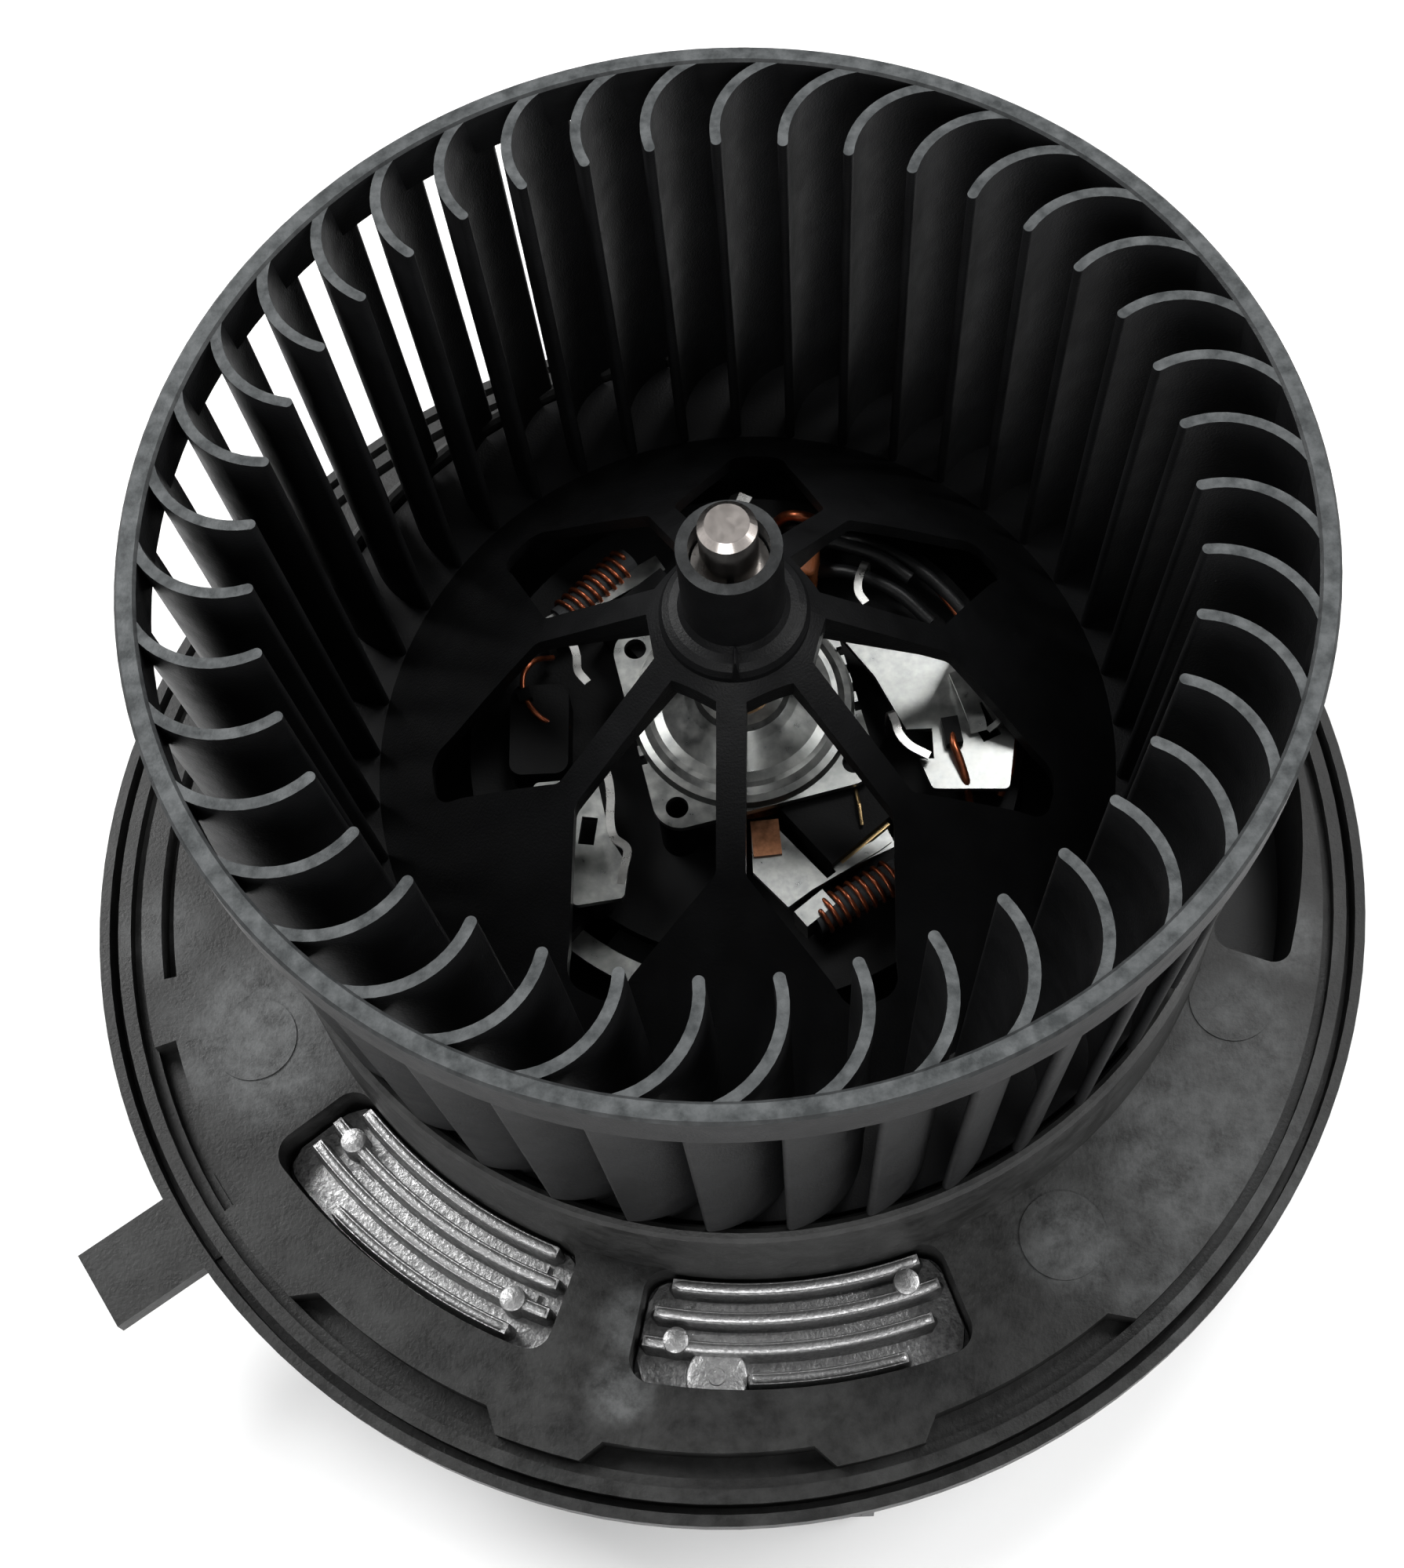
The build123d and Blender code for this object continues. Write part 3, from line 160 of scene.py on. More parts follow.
# ---------------------------------------------------------------- material building blocks
class Look:
    """A procedural material with short calls for the nodes it needs."""

    def __init__(self, name, roughness, metallic=0.0, specular=0.5):
        self.material = bpy.data.materials.new(name)
        self.material.use_nodes = True
        self.tree = self.material.node_tree
        self.shader = self.tree.nodes["Principled BSDF"]
        self.shader.inputs["Roughness"].default_value = roughness
        self.shader.inputs["Metallic"].default_value = metallic
        self.shader.inputs["Specular IOR Level"].default_value = specular
        self.coordinates = self.tree.nodes.new("ShaderNodeTexCoord").outputs["Object"]

    def link(self, source, target):
        self.tree.links.new(source, target)

    def noise(self, scale, detail=4.0, stretch=(1, 1, 1), roughness=0.6, distortion=0.0):
        """Noise from 0 to 1; scale is in features per metre."""
        place = self.tree.nodes.new("ShaderNodeMapping")
        place.inputs["Scale"].default_value = stretch
        self.link(self.coordinates, place.inputs["Vector"])
        node = self.tree.nodes.new("ShaderNodeTexNoise")
        node.inputs["Scale"].default_value = scale
        node.inputs["Detail"].default_value = detail
        node.inputs["Roughness"].default_value = roughness
        node.inputs["Distortion"].default_value = distortion
        self.link(place.outputs["Vector"], node.inputs["Vector"])
        return node.outputs["Fac"]

    def ramp(self, value, stops):
        """Maps a value to colours or greys; stops are (position, colour or grey)."""
        node = self.tree.nodes.new("ShaderNodeValToRGB")
        ramp = node.color_ramp
        while len(ramp.elements) < len(stops):
            ramp.elements.new(0.5)
        for element, (position, colour) in zip(ramp.elements, stops):
            element.position = position
            grey = isinstance(colour, (int, float))
            element.color = (colour, colour, colour, 1) if grey else (*colour, 1)
        self.link(value, node.inputs["Fac"])
        return node.outputs["Color"]

    def maths(self, operation, first, second=0.0, clamp=False):
        node = self.tree.nodes.new("ShaderNodeMath")
        node.operation = operation
        node.use_clamp = clamp
        for socket, value in zip(node.inputs, (first, second)):
            if isinstance(value, (int, float)):
                socket.default_value = value
            else:
                self.link(value, socket)
        return node.outputs[0]

    def mix(self, factor, first, second):
        node = self.tree.nodes.new("ShaderNodeMix")
        node.data_type = "RGBA"
        sockets = node.inputs[0], node.inputs[6], node.inputs[7]
        for socket, value in zip(sockets, (factor, first, second)):
            if isinstance(value, tuple):
                socket.default_value = (*value, 1)
            elif isinstance(value, (int, float)):
                socket.default_value = value
            else:
                self.link(value, socket)
        return node.outputs[2]

    def spot(self, centre, reach, ragged):
        """1 near a point and 0 beyond its reach, with a ragged edge; centre in the row frame."""
        node = self.tree.nodes.new("ShaderNodeVectorMath")
        node.operation = "DISTANCE"
        node.inputs[1].default_value = centre
        self.link(self.coordinates, node.inputs[0])
        shifted = self.maths("ADD", node.outputs["Value"], self.maths("MULTIPLY", ragged, reach * 1.1))
        return self.band(shifted, reach * 1.65, reach * 0.9)

    def height(self):
        """The object's own Z in metres."""
        split = self.tree.nodes.new("ShaderNodeSeparateXYZ")
        self.link(self.coordinates, split.inputs["Vector"])
        return split.outputs["Z"]

    def facing_up(self, start=0.8, end=0.97):
        """1 on level faces, 0 on upright ones."""
        split = self.tree.nodes.new("ShaderNodeSeparateXYZ")
        node = self.tree.nodes.new("ShaderNodeTexCoord")
        self.link(node.outputs["Normal"], split.inputs["Vector"])
        return self.band(split.outputs["Z"], start, end)

    def band(self, value, start, end):
        """A smooth step from 0 at start to 1 at end."""
        node = self.tree.nodes.new("ShaderNodeMapRange")
        node.interpolation_type = "SMOOTHSTEP"
        node.inputs["From Min"].default_value = start
        node.inputs["From Max"].default_value = end
        self.link(value, node.inputs["Value"])
        return node.outputs["Result"]

    def colour(self, source):
        self.link(source, self.shader.inputs["Base Color"])

    def gloss(self, source):
        self.link(source, self.shader.inputs["Roughness"])

    def bump(self, source, depth, strength=1.0):
        """Bump of a depth in metres; later calls stack on earlier ones."""
        node = self.tree.nodes.new("ShaderNodeBump")
        node.inputs["Distance"].default_value = depth
        node.inputs["Strength"].default_value = strength
        self.link(source, node.inputs["Height"])
        socket = self.shader.inputs["Normal"]
        if socket.links:
            self.link(socket.links[0].from_socket, node.inputs["Normal"])
        self.link(node.outputs["Normal"], socket)


# ---------------------------------------------------------------- materials
def wheel_plastic():
    """Black moulded plastic; level faces near its top are lighter grey, part rubbed wear and part
    painted top light.
    """
    look = Look("wheel_plastic", 0.5, specular=0.16)
    clouds = look.noise(60, detail=6)
    base = look.ramp(clouds, ((0.3, (0.0032, 0.0032, 0.0034)), (0.75, (0.0075, 0.0078, 0.0084))))
    wear = look.noise(420, detail=6)
    worn_and_lit_grey = look.ramp(wear, ((0.34, (0.028, 0.031, 0.032)), (0.66, (0.082, 0.087, 0.089))))
    # Level faces near the wheel top turn lighter grey: part rubbed wear, part painted top light from
    # above.
    lit_level_faces = look.facing_up(0.55, 0.9)
    near_top = look.band(look.height(), WHEEL_TOP - 0.0085, WHEEL_TOP - 0.006)
    look.colour(look.mix(look.maths("MULTIPLY", lit_level_faces, near_top), base, worn_and_lit_grey))
    look.gloss(look.ramp(look.noise(200, detail=5), ((0.3, 0.42), (0.7, 0.56))))
    look.bump(look.noise(2600, detail=2), 0.00006)
    return look.material


def flange_plastic():
    """Black glass-filled plastic with cloudy patches where the filler shows."""
    look = Look("flange_plastic", 0.5, specular=0.3)
    clouds = look.noise(45, detail=8, roughness=0.7, distortion=0.25)
    fine = look.noise(190, detail=7, roughness=0.75, distortion=0.1)
    cloudy = look.ramp(clouds, (
        (0.36, (0.0055, 0.0058, 0.0058)), (0.52, (0.016, 0.0158, 0.0152)), (0.7, (0.042, 0.043, 0.042)),
    ))
    flecks = look.ramp(fine, ((0.38, (0.006, 0.0062, 0.0062)), (0.62, (0.036, 0.0365, 0.0365))))
    dark = look.mix(0.45, cloudy, flecks)
    frost = look.ramp(fine, ((0.36, (0.028, 0.029, 0.029)), (0.64, (0.12, 0.124, 0.125))))
    patches = 0.0
    for x, y, reach, amount in FROSTED:
        patch = look.maths("MULTIPLY", look.spot((x * MM, y * MM, 0), reach * MM, clouds), amount)
        patches = look.maths("MAXIMUM", patches, patch)
    look.colour(look.mix(look.maths("MULTIPLY", patches, look.facing_up(0.5, 0.95)), dark, frost))
    look.gloss(look.ramp(fine, ((0.3, 0.36), (0.7, 0.58))))
    look.bump(look.noise(1500, detail=4), 0.00008)
    return look.material


def dark_plastic(name, shade, roughness, tint=(0.95, 1.0, 1.06), specular=0.4):
    """Plain moulded material with a fine grain."""
    look = Look(name, roughness, specular=specular)
    tone = tuple(shade * k for k in tint)
    lighter = tuple(1.7 * c for c in tone)
    look.colour(look.ramp(look.noise(90, detail=5), ((0.35, tone), (0.75, lighter))))
    look.bump(look.noise(2200, detail=2), 0.00006)
    return look.material


def zinc_steel():
    """Galvanised sheet with a faint crystal grain and soft stains."""
    look = Look("zinc_steel", 0.3, metallic=1.0)
    grain = look.noise(520, detail=3)
    stains = look.noise(75, detail=6, distortion=0.6)
    tone = look.ramp(grain, ((0.35, (0.30, 0.31, 0.305)), (0.65, (0.42, 0.425, 0.41))))
    look.colour(look.mix(look.ramp(stains, ((0.45, 0.0), (0.7, 0.75))), tone, (0.17, 0.178, 0.17)))
    look.gloss(look.ramp(grain, ((0.3, 0.27), (0.7, 0.37))))
    look.bump(look.noise(260, detail=2), 0.00002)
    return look.material


def bright_steel(name, tone, roughness, stretch=(1, 1, 1)):
    """Bright metal with fine marks drawn along one way."""
    look = Look(name, roughness, metallic=1.0)
    lines = look.noise(700, detail=4, stretch=stretch)
    darker = tuple(0.7 * c for c in tone)
    look.colour(look.ramp(lines, ((0.3, darker), (0.7, tone))))
    look.gloss(look.ramp(lines, ((0.3, roughness * 1.3), (0.7, roughness * 0.8))))
    look.bump(lines, 0.000006)
    return look.material


def cast_aluminium():
    """Grainy die-cast aluminium."""
    look = Look("cast_aluminium", 0.4, metallic=1.0)
    grain = look.noise(1300, detail=4)
    tone = look.ramp(grain, ((0.3, (0.27, 0.27, 0.272)), (0.7, (0.56, 0.56, 0.56))))
    look.colour(tone)
    look.gloss(look.ramp(grain, ((0.3, 0.52), (0.7, 0.36))))
    look.bump(grain, 0.00016)
    return look.material


def copper_wire(name="copper", tone=(0.62, 0.17, 0.07)):
    """Lacquered copper."""
    look = Look(name, 0.3, metallic=0.9)
    darker = tuple(0.45 * c for c in tone)
    look.colour(look.ramp(look.noise(700, detail=4), ((0.3, darker), (0.65, tone))))
    look.shader.inputs["Coat Weight"].default_value = 0.4
    look.bump(look.noise(900, detail=2), 0.00002)
    return look.material


# Pale patches on the flange in mm: x, y, reach, strength
FROSTED = (
    (-75, -27, 17, 0.9), (-66, -12, 12, 0.6), (70, -52, 22, 0.55), (50, -64, 10, 0.6),
    (80, -36, 14, 0.5), (-16, -74, 7, 0.55), (-18, -83, 6, 0.7), (-92, -10, 9, 0.5),
    (88, -18, 9, 0.7), (62, -72, 9, 0.4),
)
LOOKS = {
    "wheel_plastic": wheel_plastic(),
    "flange_plastic": flange_plastic(),
    "cover_plastic": dark_plastic("cover_plastic", 0.012, 0.5),
    "socket_plastic": dark_plastic("socket_plastic", 0.010, 0.42),
    "card_plastic": dark_plastic("card_plastic", 0.0035, 0.6, specular=0.14),
    "shaft_steel": bright_steel("shaft_steel", (0.72, 0.66, 0.62), 0.2, stretch=(1, 1, 0.08)),
    "zinc_steel": zinc_steel(),
    "bearing_bronze": bright_steel("bearing_bronze", (0.5, 0.34, 0.2), 0.4),
    "core_steel": bright_steel("core_steel", (0.3, 0.3, 0.31), 0.45, stretch=(0.05, 0.05, 4)),
    "copper": copper_wire(),
    "commutator_copper": copper_wire("commutator_copper", (0.55, 0.25, 0.13)),
    "ferrite": dark_plastic("ferrite", 0.03, 0.7),
    "brass_sheet": bright_steel("brass_sheet", (0.7, 0.5, 0.25), 0.3),
    "carbon": dark_plastic("carbon", 0.02, 0.55),
    "spring_steel": bright_steel("spring_steel", (0.2, 0.19, 0.18), 0.3),
    "tinned": bright_steel("tinned", (0.62, 0.62, 0.6), 0.3),
    "capacitor_film": dark_plastic("capacitor_film", 0.3, 0.3, tint=(1.0, 0.32, 0.12)),
    "cast_aluminium": cast_aluminium(),
    "board": dark_plastic("board", 0.12, 0.35, tint=(0.2, 1.0, 0.45)),
    "chip_epoxy": dark_plastic("chip_epoxy", 0.01, 0.5),
    "rubber": dark_plastic("rubber", 0.008, 0.75),
    "washer_nylon": dark_plastic("washer_nylon", 0.5, 0.4, tint=(1.0, 0.96, 0.86)),
}


def dress_nodes():
    """Gives each CAD node its procedural material by its slot in the record."""
    for part in frame["record"]["subparts"]:
        node = nodes[part["node"]]
        node.data.materials.clear()
        node.data.materials.append(LOOKS[part["material_slot"]])


dress_nodes()

# ---------------------------------------------------------------- shape helpers
def wheel_point(x, y, z):
    """Millimetres from the shaft axis to metres in the row frame."""
    return Vector((AXIS_X + x * MM, AXIS_Y + y * MM, z * MM))


def polar_point(radius, angle, z):
    return wheel_point(radius * cos(radians(angle)), radius * sin(radians(angle)), z)


def piece(name, vertices, faces, slot, body=HOUSING, smooth=True, hard_angle=35):
    """Makes a mesh piece with its slot's material that rides on a body."""
    mesh = bpy.data.meshes.new(name)
    mesh.from_pydata([tuple(v) for v in vertices], [], faces)
    shape = bmesh.new()
    shape.from_mesh(mesh)
    bmesh.ops.remove_doubles(shape, verts=shape.verts, dist=1e-6)
    bmesh.ops.recalc_face_normals(shape, faces=shape.faces)
    shape.to_mesh(mesh)
    shape.free()
    if smooth:
        mesh.shade_smooth()
        mesh.set_sharp_from_angle(angle=radians(hard_angle))
    mesh.materials.append(LOOKS[slot])
    made = bpy.data.objects.new(name, mesh)
    bpy.context.scene.collection.objects.link(made)
    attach(made, body)
    return made


class Soup:
    """Collects vertices and faces of several shapes for one piece."""

    def __init__(self):
        self.vertices, self.faces = [], []

    def loft(self, sections, closed_path=False, caps=True):
        """Joins rings of equal length; sections are lists of points."""
        first, count = len(self.vertices), len(sections[0])
        for section in sections:
            self.vertices.extend(section)
        steps = len(sections) if closed_path else len(sections) - 1
        for i in range(steps):
            a, b = first + i * count, first + (i + 1) % len(sections) * count
            for j in range(count):
                k = (j + 1) % count
                self.faces.append((a + j, a + k, b + k, b + j))
        if caps and not closed_path:
            self.faces.append(tuple(range(first, first + count)))
            last = first + (len(sections) - 1) * count
            self.faces.append(tuple(range(last, last + count)))

    def turned(self, centre, profile, segments=32):
        """A solid of revolution about a vertical axis; profile points are (radius, z) in mm."""
        sections = []
        for i in range(segments):
            turn = 2 * pi * i / segments
            sections.append([
                Vector(centre) + Vector((r * MM * cos(turn), r * MM * sin(turn), z * MM))
                for r, z in profile
            ])
        self.loft(sections, closed_path=True)

    def tube(self, path, radius, sides=10):
        """A round tube along a path of points, all in metres."""
        sections = []
        side = Vector((0, 0, 1))
        for i, point in enumerate(path):
            along = (path[min(i + 1, len(path) - 1)] - path[max(i - 1, 0)]).normalized()
            side = side - along * side.dot(along)
            if side.length < 1e-6:
                side = along.orthogonal()
            side.normalize()
            other = along.cross(side)
            turns = [2 * pi * j / sides for j in range(sides)]
            sections.append([point + (side * cos(turn) + other * sin(turn)) * radius for turn in turns])
        self.loft(sections)

    def ribbon(self, path, width, thickness):
        """A flat strip along a path, level across its width."""
        sections = []
        across = None
        for i, point in enumerate(path):
            along = (path[min(i + 1, len(path) - 1)] - path[max(i - 1, 0)]).normalized()
            level = Vector((along.x, along.y, 0))
            if level.length > 0.3 or across is None:
                level = level if level.length > 1e-6 else Vector((1, 0, 0))
                across = Vector((-level.y, level.x, 0)).normalized()
            up = along.cross(across).normalized()
            w, t = across * width / 2, up * thickness / 2
            sections.append([point + w + t, point - w + t, point - w - t, point + w - t])
        self.loft(sections)

    def block(self, centre, size, turn=0.0):
        """A box in mm about a centre, turned about Z by degrees."""
        c, s = cos(radians(turn)), sin(radians(turn))
        low, high = [], []
        for x, y in ((-1, -1), (1, -1), (1, 1), (-1, 1)):
            dx, dy = x * size[0] / 2 * MM, y * size[1] / 2 * MM
            flat = Vector((dx * c - dy * s, dx * s + dy * c, 0))
            low.append(Vector(centre) + flat - Vector((0, 0, size[2] / 2 * MM)))
            high.append(Vector(centre) + flat + Vector((0, 0, size[2] / 2 * MM)))
        self.loft([low, high])

    def make(self, name, slot, **options):
        return piece(name, self.vertices, self.faces, slot, **options)


def smooth_path(points, steps=8):
    """A rounded line through points."""
    ends = [points[0] * 2 - points[1], *points, points[-1] * 2 - points[-2]]
    path = []
    for a, b, c, d in zip(ends, ends[1:], ends[2:], ends[3:]):
        for i in range(steps):
            t = i / steps
            path.append(0.5 * (2 * b + (c - a) * t + (2 * a - 5 * b + 4 * c - d) * t ** 2
                               + (3 * b - a - 3 * c + d) * t ** 3))
    path.append(points[-1])
    return path


# ---------------------------------------------------------------- heat sink ridges
SINK_LEVEL = -10.0
SINK_FLOOR = -7.4
PEG_FOOT = -9.9
WINDOWS = ((216.6, 249.0), (257.3, 289.2))    # start and end angles
FLOOR_IN, FLOOR_OUT, FLOOR_MID_R, CORNER_R = 77.6, 93.6, 85, 3.4
SHOULDERED, SHOULDER_RISE, SHOULDER_STATIONS = (83.2, 87.6), 2.6, 24
PEGS = ((83.2, 220.6), (87.6, 244.3), (81.6, 285.0), (87.0, 261.0))    # radius, angle
PEG_PROFILE = (
    (0.0, -1.75), (1.5, -1.75), (1.85, -1.95), (2.0, -2.6), (2.1, PEG_FOOT), (0.0, PEG_FOOT),
)
LARGE_PEG = (91.5, 265.2)
LARGE_PEG_PROFILE = (
    (0.0, -3.3), (1.2, -3.3), (1.3, -3.55), (3.6, -3.5), (4.4, -3.75), (4.7, -4.4),
    (4.75, PEG_FOOT), (0.0, PEG_FOOT),
)
RIDGES = (
    (78.9, 219.0, 246.6), (83.2, 217.6, 247.9), (87.6, 218.2, 248.1), (91.9, 224.5, 245.0),
    (78.9, 259.8, 287.0), (83.2, 258.4, 288.2), (87.6, 257.8, 286.4), (91.9, 268.3, 283.0),
)
RIDGE_GROWTH, RIDGE_STATIONS = 1.3, 40    # millimetres over which an end rounds off
RIDGE_SECTION = (
    (-2.15, 0.0), (-1.85, 0.35), (-1.45, 1.4), (-1.15, 4.0), (-1.02, 6.6), (-0.72, 7.45), (0.0, 7.78),
    (0.72, 7.45), (1.02, 6.6), (1.15, 4.0), (1.45, 1.4), (1.85, 0.35), (2.15, 0.0),
)


def heat_sink_ridges():
    """Cast ridges with soft tops and flared feet, each along an arc and rounded at its ends."""
    soup = Soup()
    for radius, start, end in RIDGES:
        sections = []
        for i in range(RIDGE_STATIONS + 1):
            angle = start - 0.5 + (end - start + 1.0) * i / RIDGE_STATIONS
            inward = min(angle - start + 0.5, end + 0.5 - angle) * radians(radius)
            grow = min(1.0, max(0.06, inward / RIDGE_GROWTH))
            grow = (1 - (1 - grow) ** 2) ** 0.5
            lift = 0.35 + 0.65 * grow
            sections.append([
                polar_point(radius + across * grow, angle, SINK_LEVEL - 0.2 + (rise + 0.2) * lift)
                for across, rise in RIDGE_SECTION
            ])
        soup.loft(sections)
    soup.make("heat_sink_ridges", "cast_aluminium", hard_angle=60)
    pads = Soup()
    for radius, start, end in RIDGES:
        if radius not in SHOULDERED:
            continue
        sections = []
        for i in range(SHOULDER_STATIONS + 1):
            angle = start + 3.0 + (end - start - 5.0) * i / SHOULDER_STATIONS
            lift = SHOULDER_RISE * min(1.0, min(i, SHOULDER_STATIONS - i) / 3)
            sections.append([
                polar_point(radius - 3.4, angle, SINK_LEVEL - 0.1),
                polar_point(radius - 3.0, angle, SINK_LEVEL + lift * 0.7),
                polar_point(radius - 2.2, angle, SINK_LEVEL + lift),
                polar_point(radius - 0.6, angle, SINK_LEVEL + lift * 1.1),
                polar_point(radius, angle, SINK_LEVEL - 0.1),
            ])
        pads.loft(sections)
    pads.make("heat_sink_shoulders", "cast_aluminium", hard_angle=60)
    floor_plate = Soup()
    for start, end in WINDOWS:
        sections = []
        for i in range(RIDGE_STATIONS + 1):
            angle = start + (end - start) * i / RIDGE_STATIONS
            from_end = min(i, RIDGE_STATIONS - i) / RIDGE_STATIONS * radians(end - start) * FLOOR_MID_R
            inset = max(0.0, CORNER_R - from_end)
            inset = CORNER_R - (CORNER_R ** 2 - inset ** 2) ** 0.5
            low, high = FLOOR_IN + inset, FLOOR_OUT - inset
            sections.append([
                polar_point(low, angle, PEG_FOOT), polar_point(low, angle, SINK_FLOOR - 0.3),
                polar_point(low + 0.3, angle, SINK_FLOOR), polar_point(high - 0.3, angle, SINK_FLOOR),
                polar_point(high, angle, SINK_FLOOR - 0.3), polar_point(high, angle, PEG_FOOT),
            ])
        floor_plate.loft(sections)
    floor_plate.make("heat_sink_floor", "cast_aluminium", smooth=False)
    pegs = Soup()
    for radius, angle in PEGS:
        pegs.turned(polar_point(radius, angle, 0), PEG_PROFILE)
    pegs.turned(polar_point(*LARGE_PEG, 0), LARGE_PEG_PROFILE)
    pegs.make("heat_sink_pegs", "cast_aluminium")


heat_sink_ridges()


# ---------------------------------------------------------------- brush gear
CHOKES = ((33.2, 299.0), (33.2, 134.0))    # radius and angle of each choke's middle
CHOKE_LEVEL = 29.2
CHOKE_TURNS, CHOKE_STEPS = 8.5, 18
CHOKE_COIL_R, CHOKE_HALF = 2.55 * MM, 6.4 * MM
CHOKE_WIRE_R = 0.36 * MM
LEAD_DROP = 5.4 * MM
SPRING_TURNS, SPRING_STEPS = 6, 16
SPRING_COIL_R, SPRING_WIRE_R = 2.2 * MM, 0.3 * MM
UP = Vector((0, 0, 1))


def wheel_path(points):
    """Points in mm from the shaft axis as a list of row-frame points."""
    return [wheel_point(*point) for point in points]


def choke_windings():
    """Open copper coils round the ferrite rods, with their ends led down to the card."""
    count = int(CHOKE_TURNS * CHOKE_STEPS)
    for number, (radius, angle) in enumerate(CHOKES):
        centre = polar_point(radius, angle, CHOKE_LEVEL)
        along = Vector((-sin(radians(angle)), cos(radians(angle)), 0))
        outward = Vector((cos(radians(angle)), sin(radians(angle)), 0))
        path = []
        for i in range(count + 1):
            turn = 2 * pi * i / CHOKE_STEPS
            path.append(centre + along * (2 * i / count - 1) * CHOKE_HALF
                        + (UP * cos(turn) + outward * sin(turn)) * CHOKE_COIL_R)
        reach, side = along * CHOKE_HALF, outward * CHOKE_COIL_R * 0.6
        lead_in = [centre - reach + side - UP * LEAD_DROP, path[0] - UP * 2.2 * MM]
        lead_out = [path[-1] - UP * 1.5 * MM, centre + reach - side - UP * LEAD_DROP]
        soup = Soup()
        soup.tube(smooth_path(lead_in + path[::3] + lead_out, 5), CHOKE_WIRE_R, sides=8)
        coil = soup.make(f"choke_winding_{number}", "copper", hard_angle=80)
        if number == 0:
            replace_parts(coil, "choke_coils")


choke_windings()


def brush_spring_coils():
    """Coil springs behind the brushes."""
    count = SPRING_TURNS * SPRING_STEPS
    for letter in "ab":
        low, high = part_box(f"brush_spring_{letter}")
        centre = (low + high) / 2
        angle = atan2(centre.y - AXIS_Y, centre.x - AXIS_X)
        outward = Vector((cos(angle), sin(angle), 0))
        across = Vector((-sin(angle), cos(angle), 0))
        half = 2.75 * MM - SPRING_WIRE_R
        path = []
        for i in range(count + 1):
            turn = 2 * pi * i / SPRING_STEPS
            path.append(centre + outward * half * (2 * i / count - 1)
                        + (across * cos(turn) + UP * sin(turn)) * SPRING_COIL_R)
        soup = Soup()
        soup.tube(path, SPRING_WIRE_R, sides=8)
        coil = soup.make(f"spring_coil_{letter}", "spring_steel", hard_angle=80)
        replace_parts(coil, f"brush_spring_{letter}")


brush_spring_coils()

STRIP_ROUTES = (
    (
        (-30.2, 15.6, 23), (-29.9, 15.2, 31.5), (-28.4, 13.9, 33), (-26.4, 12.9, 33),
        (-25.5, 10.6, 32.8), (-25.3, 8.2, 32.4), (-23.9, 6.4, 31.8),
    ),
    (
        (20.2, 26.6, 23), (20.0, 26.2, 30), (19.3, 24.6, 31), (18.6, 22.6, 31),
        (18.6, 20.6, 30.8), (19.6, 19.0, 30.4),
    ),
    (
        (22.2, -0.6, 23), (22.3, -0.9, 32), (22.9, -2.6, 33), (23.5, -4.9, 33),
        (25.0, -6.8, 32.8), (27.8, -8.4, 32.4),
    ),
    (
        (-22.4, -3.4, 23), (-22.3, -4.0, 31), (-21.7, -6.4, 32), (-20.7, -9.6, 32),
        (-20.3, -12.8, 31.8), (-20.4, -16.4, 31.6), (-19.8, -19.2, 31.6), (-17.9, -21.0, 31.2),
        (-18.4, -24.0, 31.0), (-18.9, -26.4, 30.4),
    ),
)


def terminals():
    """Tinned strips that rise from the card and bend over in an S."""
    soup = Soup()
    for route in STRIP_ROUTES:
        soup.ribbon(smooth_path(wheel_path(route), 6), 1.25 * MM, 0.5 * MM)
    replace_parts(soup.make("terminal_ribbons", "tinned", hard_angle=50), "terminal_strips")


terminals()

# Bare copper leads with their wire radii, and sleeved leads, in mm from the shaft axis
COPPER_ROUTES = (
    (0.45, (
        (-30.0, 13.8, 26), (-32.4, 11.4, 30), (-34.0, 8.7, 30.4), (-33.6, 5.0, 30),
        (-31.0, 1.6, 29.6), (-27.2, 1.0, 27),
    )),
    (0.62, (
        (31.6, -3.4, 31.4), (31.6, -6.4, 32.2), (32.4, -9.0, 31.8), (33.3, -12.4, 30.2),
        (34.0, -15.6, 25),
    )),
    (0.4, ((22.0, 31.2, 24), (27.0, 27.6, 26.2), (31.6, 22.4, 26.2), (35.4, 16.6, 25.2))),
    (0.9, (
        (5.0, 36.0, 25), (7.6, 35.4, 30), (10.6, 34.6, 31), (13.4, 35.0, 28), (15.0, 36.4, 24),
    )),
    (0.7, ((38.6, -12.0, 24.6), (40.2, -9.0, 26.6), (41.0, -4.6, 26.6), (41.2, 0.6, 24.6))),
)
SLEEVE_R = 1.1
SLEEVE_ROUTES = (
    (
        (7.0, 37.4, 24), (9.4, 33.6, 28.6), (12.4, 31.2, 29.6), (16.2, 30.2, 29.6),
        (22.0, 28.2, 28.8), (27.0, 24.6, 27.4),
    ),
    (
        (13.8, 34.2, 24), (20.6, 32.0, 26.4), (27.6, 27.4, 26.6), (33.4, 21.4, 26.2),
        (37.2, 16.0, 25.0),
    ),
    ((10.4, 28.4, 24), (17.4, 26.4, 27), (24.6, 22.6, 27), (30.0, 17.6, 25.4)),
)


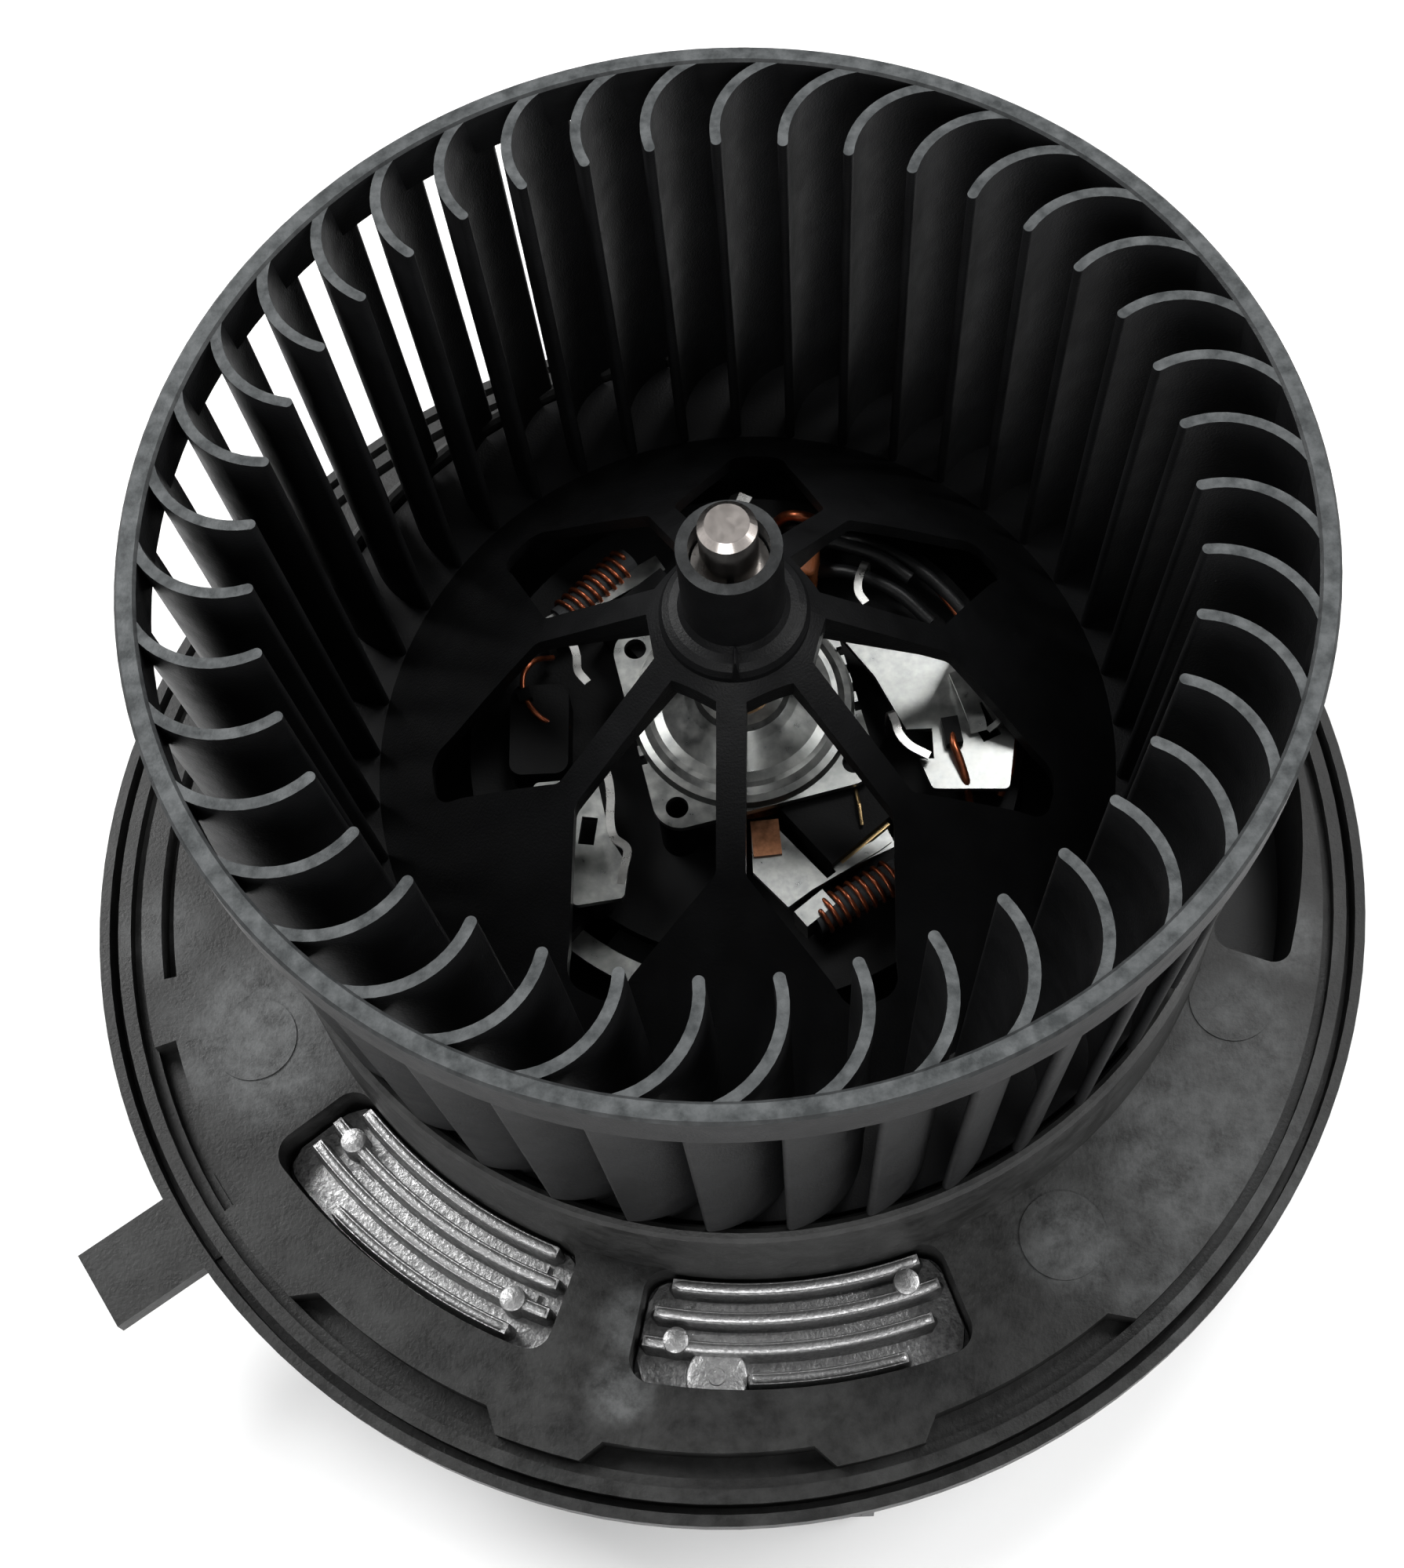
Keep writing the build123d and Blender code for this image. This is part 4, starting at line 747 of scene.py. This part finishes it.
def leads():
    """Lacquered and sleeved wires between the card, the chokes and the brushes."""
    soup = Soup()
    for radius, route in COPPER_ROUTES:
        soup.tube(smooth_path(wheel_path(route), 8), radius * MM, sides=10)
    soup.make("copper_leads", "copper", hard_angle=80)
    sleeves = Soup()
    for route in SLEEVE_ROUTES:
        sleeves.tube(smooth_path(wheel_path(route), 8), SLEEVE_R * MM, sides=12)
    sleeves.make("sleeved_leads", "socket_plastic", hard_angle=80)
    clamp = Soup()
    clamp.block(wheel_point(31.5, -4.2, 31.6), (2.6, 4.4, 1.6), 8)
    clamp.block(wheel_point(-33.8, 5.4, 29.6), (2.0, 2.0, 2.4), 20)
    clamp.make("lead_clamps", "card_plastic", smooth=False)


leads()

TAB_LOOP = ((33.0, 6.0, 31.2), (34.0, 1.8, 32.6), (35.2, -2.6, 32.8), (35.6, -4.2, 31.4))
TAB_RIM = ((35.0, 6.3, 31.2), (37.2, 2.0, 32.0), (38.8, -2.4, 32.0), (37.0, -4.2, 31.4))
FRONT_WALL = ((12.6, -25.2, 31.0), (21.6, -21.2, 31.0))
REAR_WALL = ((-30.4, 17.4, 29.6), (-12.6, 28.0, 29.6))
PIGTAIL = ((16.4, -13.8, 33.2), (16.8, -16.6, 34.4), (17.1, -19.6, 33.6))
REAR_CONTACT = ((-1.6, 38.2, 24), (-1.2, 38.0, 31.5), (0.2, 37.6, 33), (2.0, 36.6, 33))


def small_sheet_parts():
    """Bent tab, walls beside the chokes, contacts and the thin pin by the front brush."""
    tab = Soup()
    tab.ribbon(smooth_path(wheel_path(TAB_LOOP), 6), 2.6 * MM, 0.5 * MM)
    tab.ribbon(smooth_path(wheel_path(TAB_RIM), 6), 0.9 * MM, 0.5 * MM)
    tab.make("bracket_tab", "zinc_steel", hard_angle=50)
    wall = Soup()
    wall.ribbon(wheel_path(FRONT_WALL), 2.2 * MM, 0.6 * MM)
    wall.block(wheel_point(9.6, -31.4, 28.6), (5.4, 3.0, 5.6), 38)
    wall.ribbon(wheel_path(REAR_WALL), 3.0 * MM, 0.6 * MM)
    wall.make("choke_walls", "zinc_steel", smooth=False)
    pin = Soup()
    pin.tube(wheel_path(PIGTAIL), 0.3 * MM)
    pin.make("brush_pigtail_pin", "brass_sheet")
    end = Soup()
    end.ribbon(wheel_path(REAR_CONTACT), 1.6 * MM, 0.5 * MM)
    end.make("rear_contact", "tinned", smooth=False)
    contact = Soup()
    contact.block(wheel_point(2.8, -20.4, 31.9), (4.2, 5.6, 0.5), 4)
    contact.make("strap_contact", "commutator_copper", smooth=False)


small_sheet_parts()


# ---------------------------------------------------------------- underside ribs
def rib_ring(name, count, first_angle, gap, place, size):
    """Radial ribs in a ring, leaving out the controller box and the air port."""
    soup = Soup()
    radius, level = place
    box_start, box_end, port_end = gap
    for step in range(count):
        angle = step * 360.0 / count + first_angle
        if box_start < angle < box_end or angle > PORT_START or angle < port_end:
            continue
        soup.block(polar_point(radius, angle, level), size, angle)
    soup.make(name, "flange_plastic", smooth=False)


PORT_START = 334
rib_ring("flange_ribs", 36, 3.0, (206, 300, 15), (80.5, -5.4), (7.0, 1.5, 5.2))
rib_ring("cup_ribs", 24, 4.0, (200, 306, 16), (48.2, -12.5), (4.0, 1.6, 36.0))
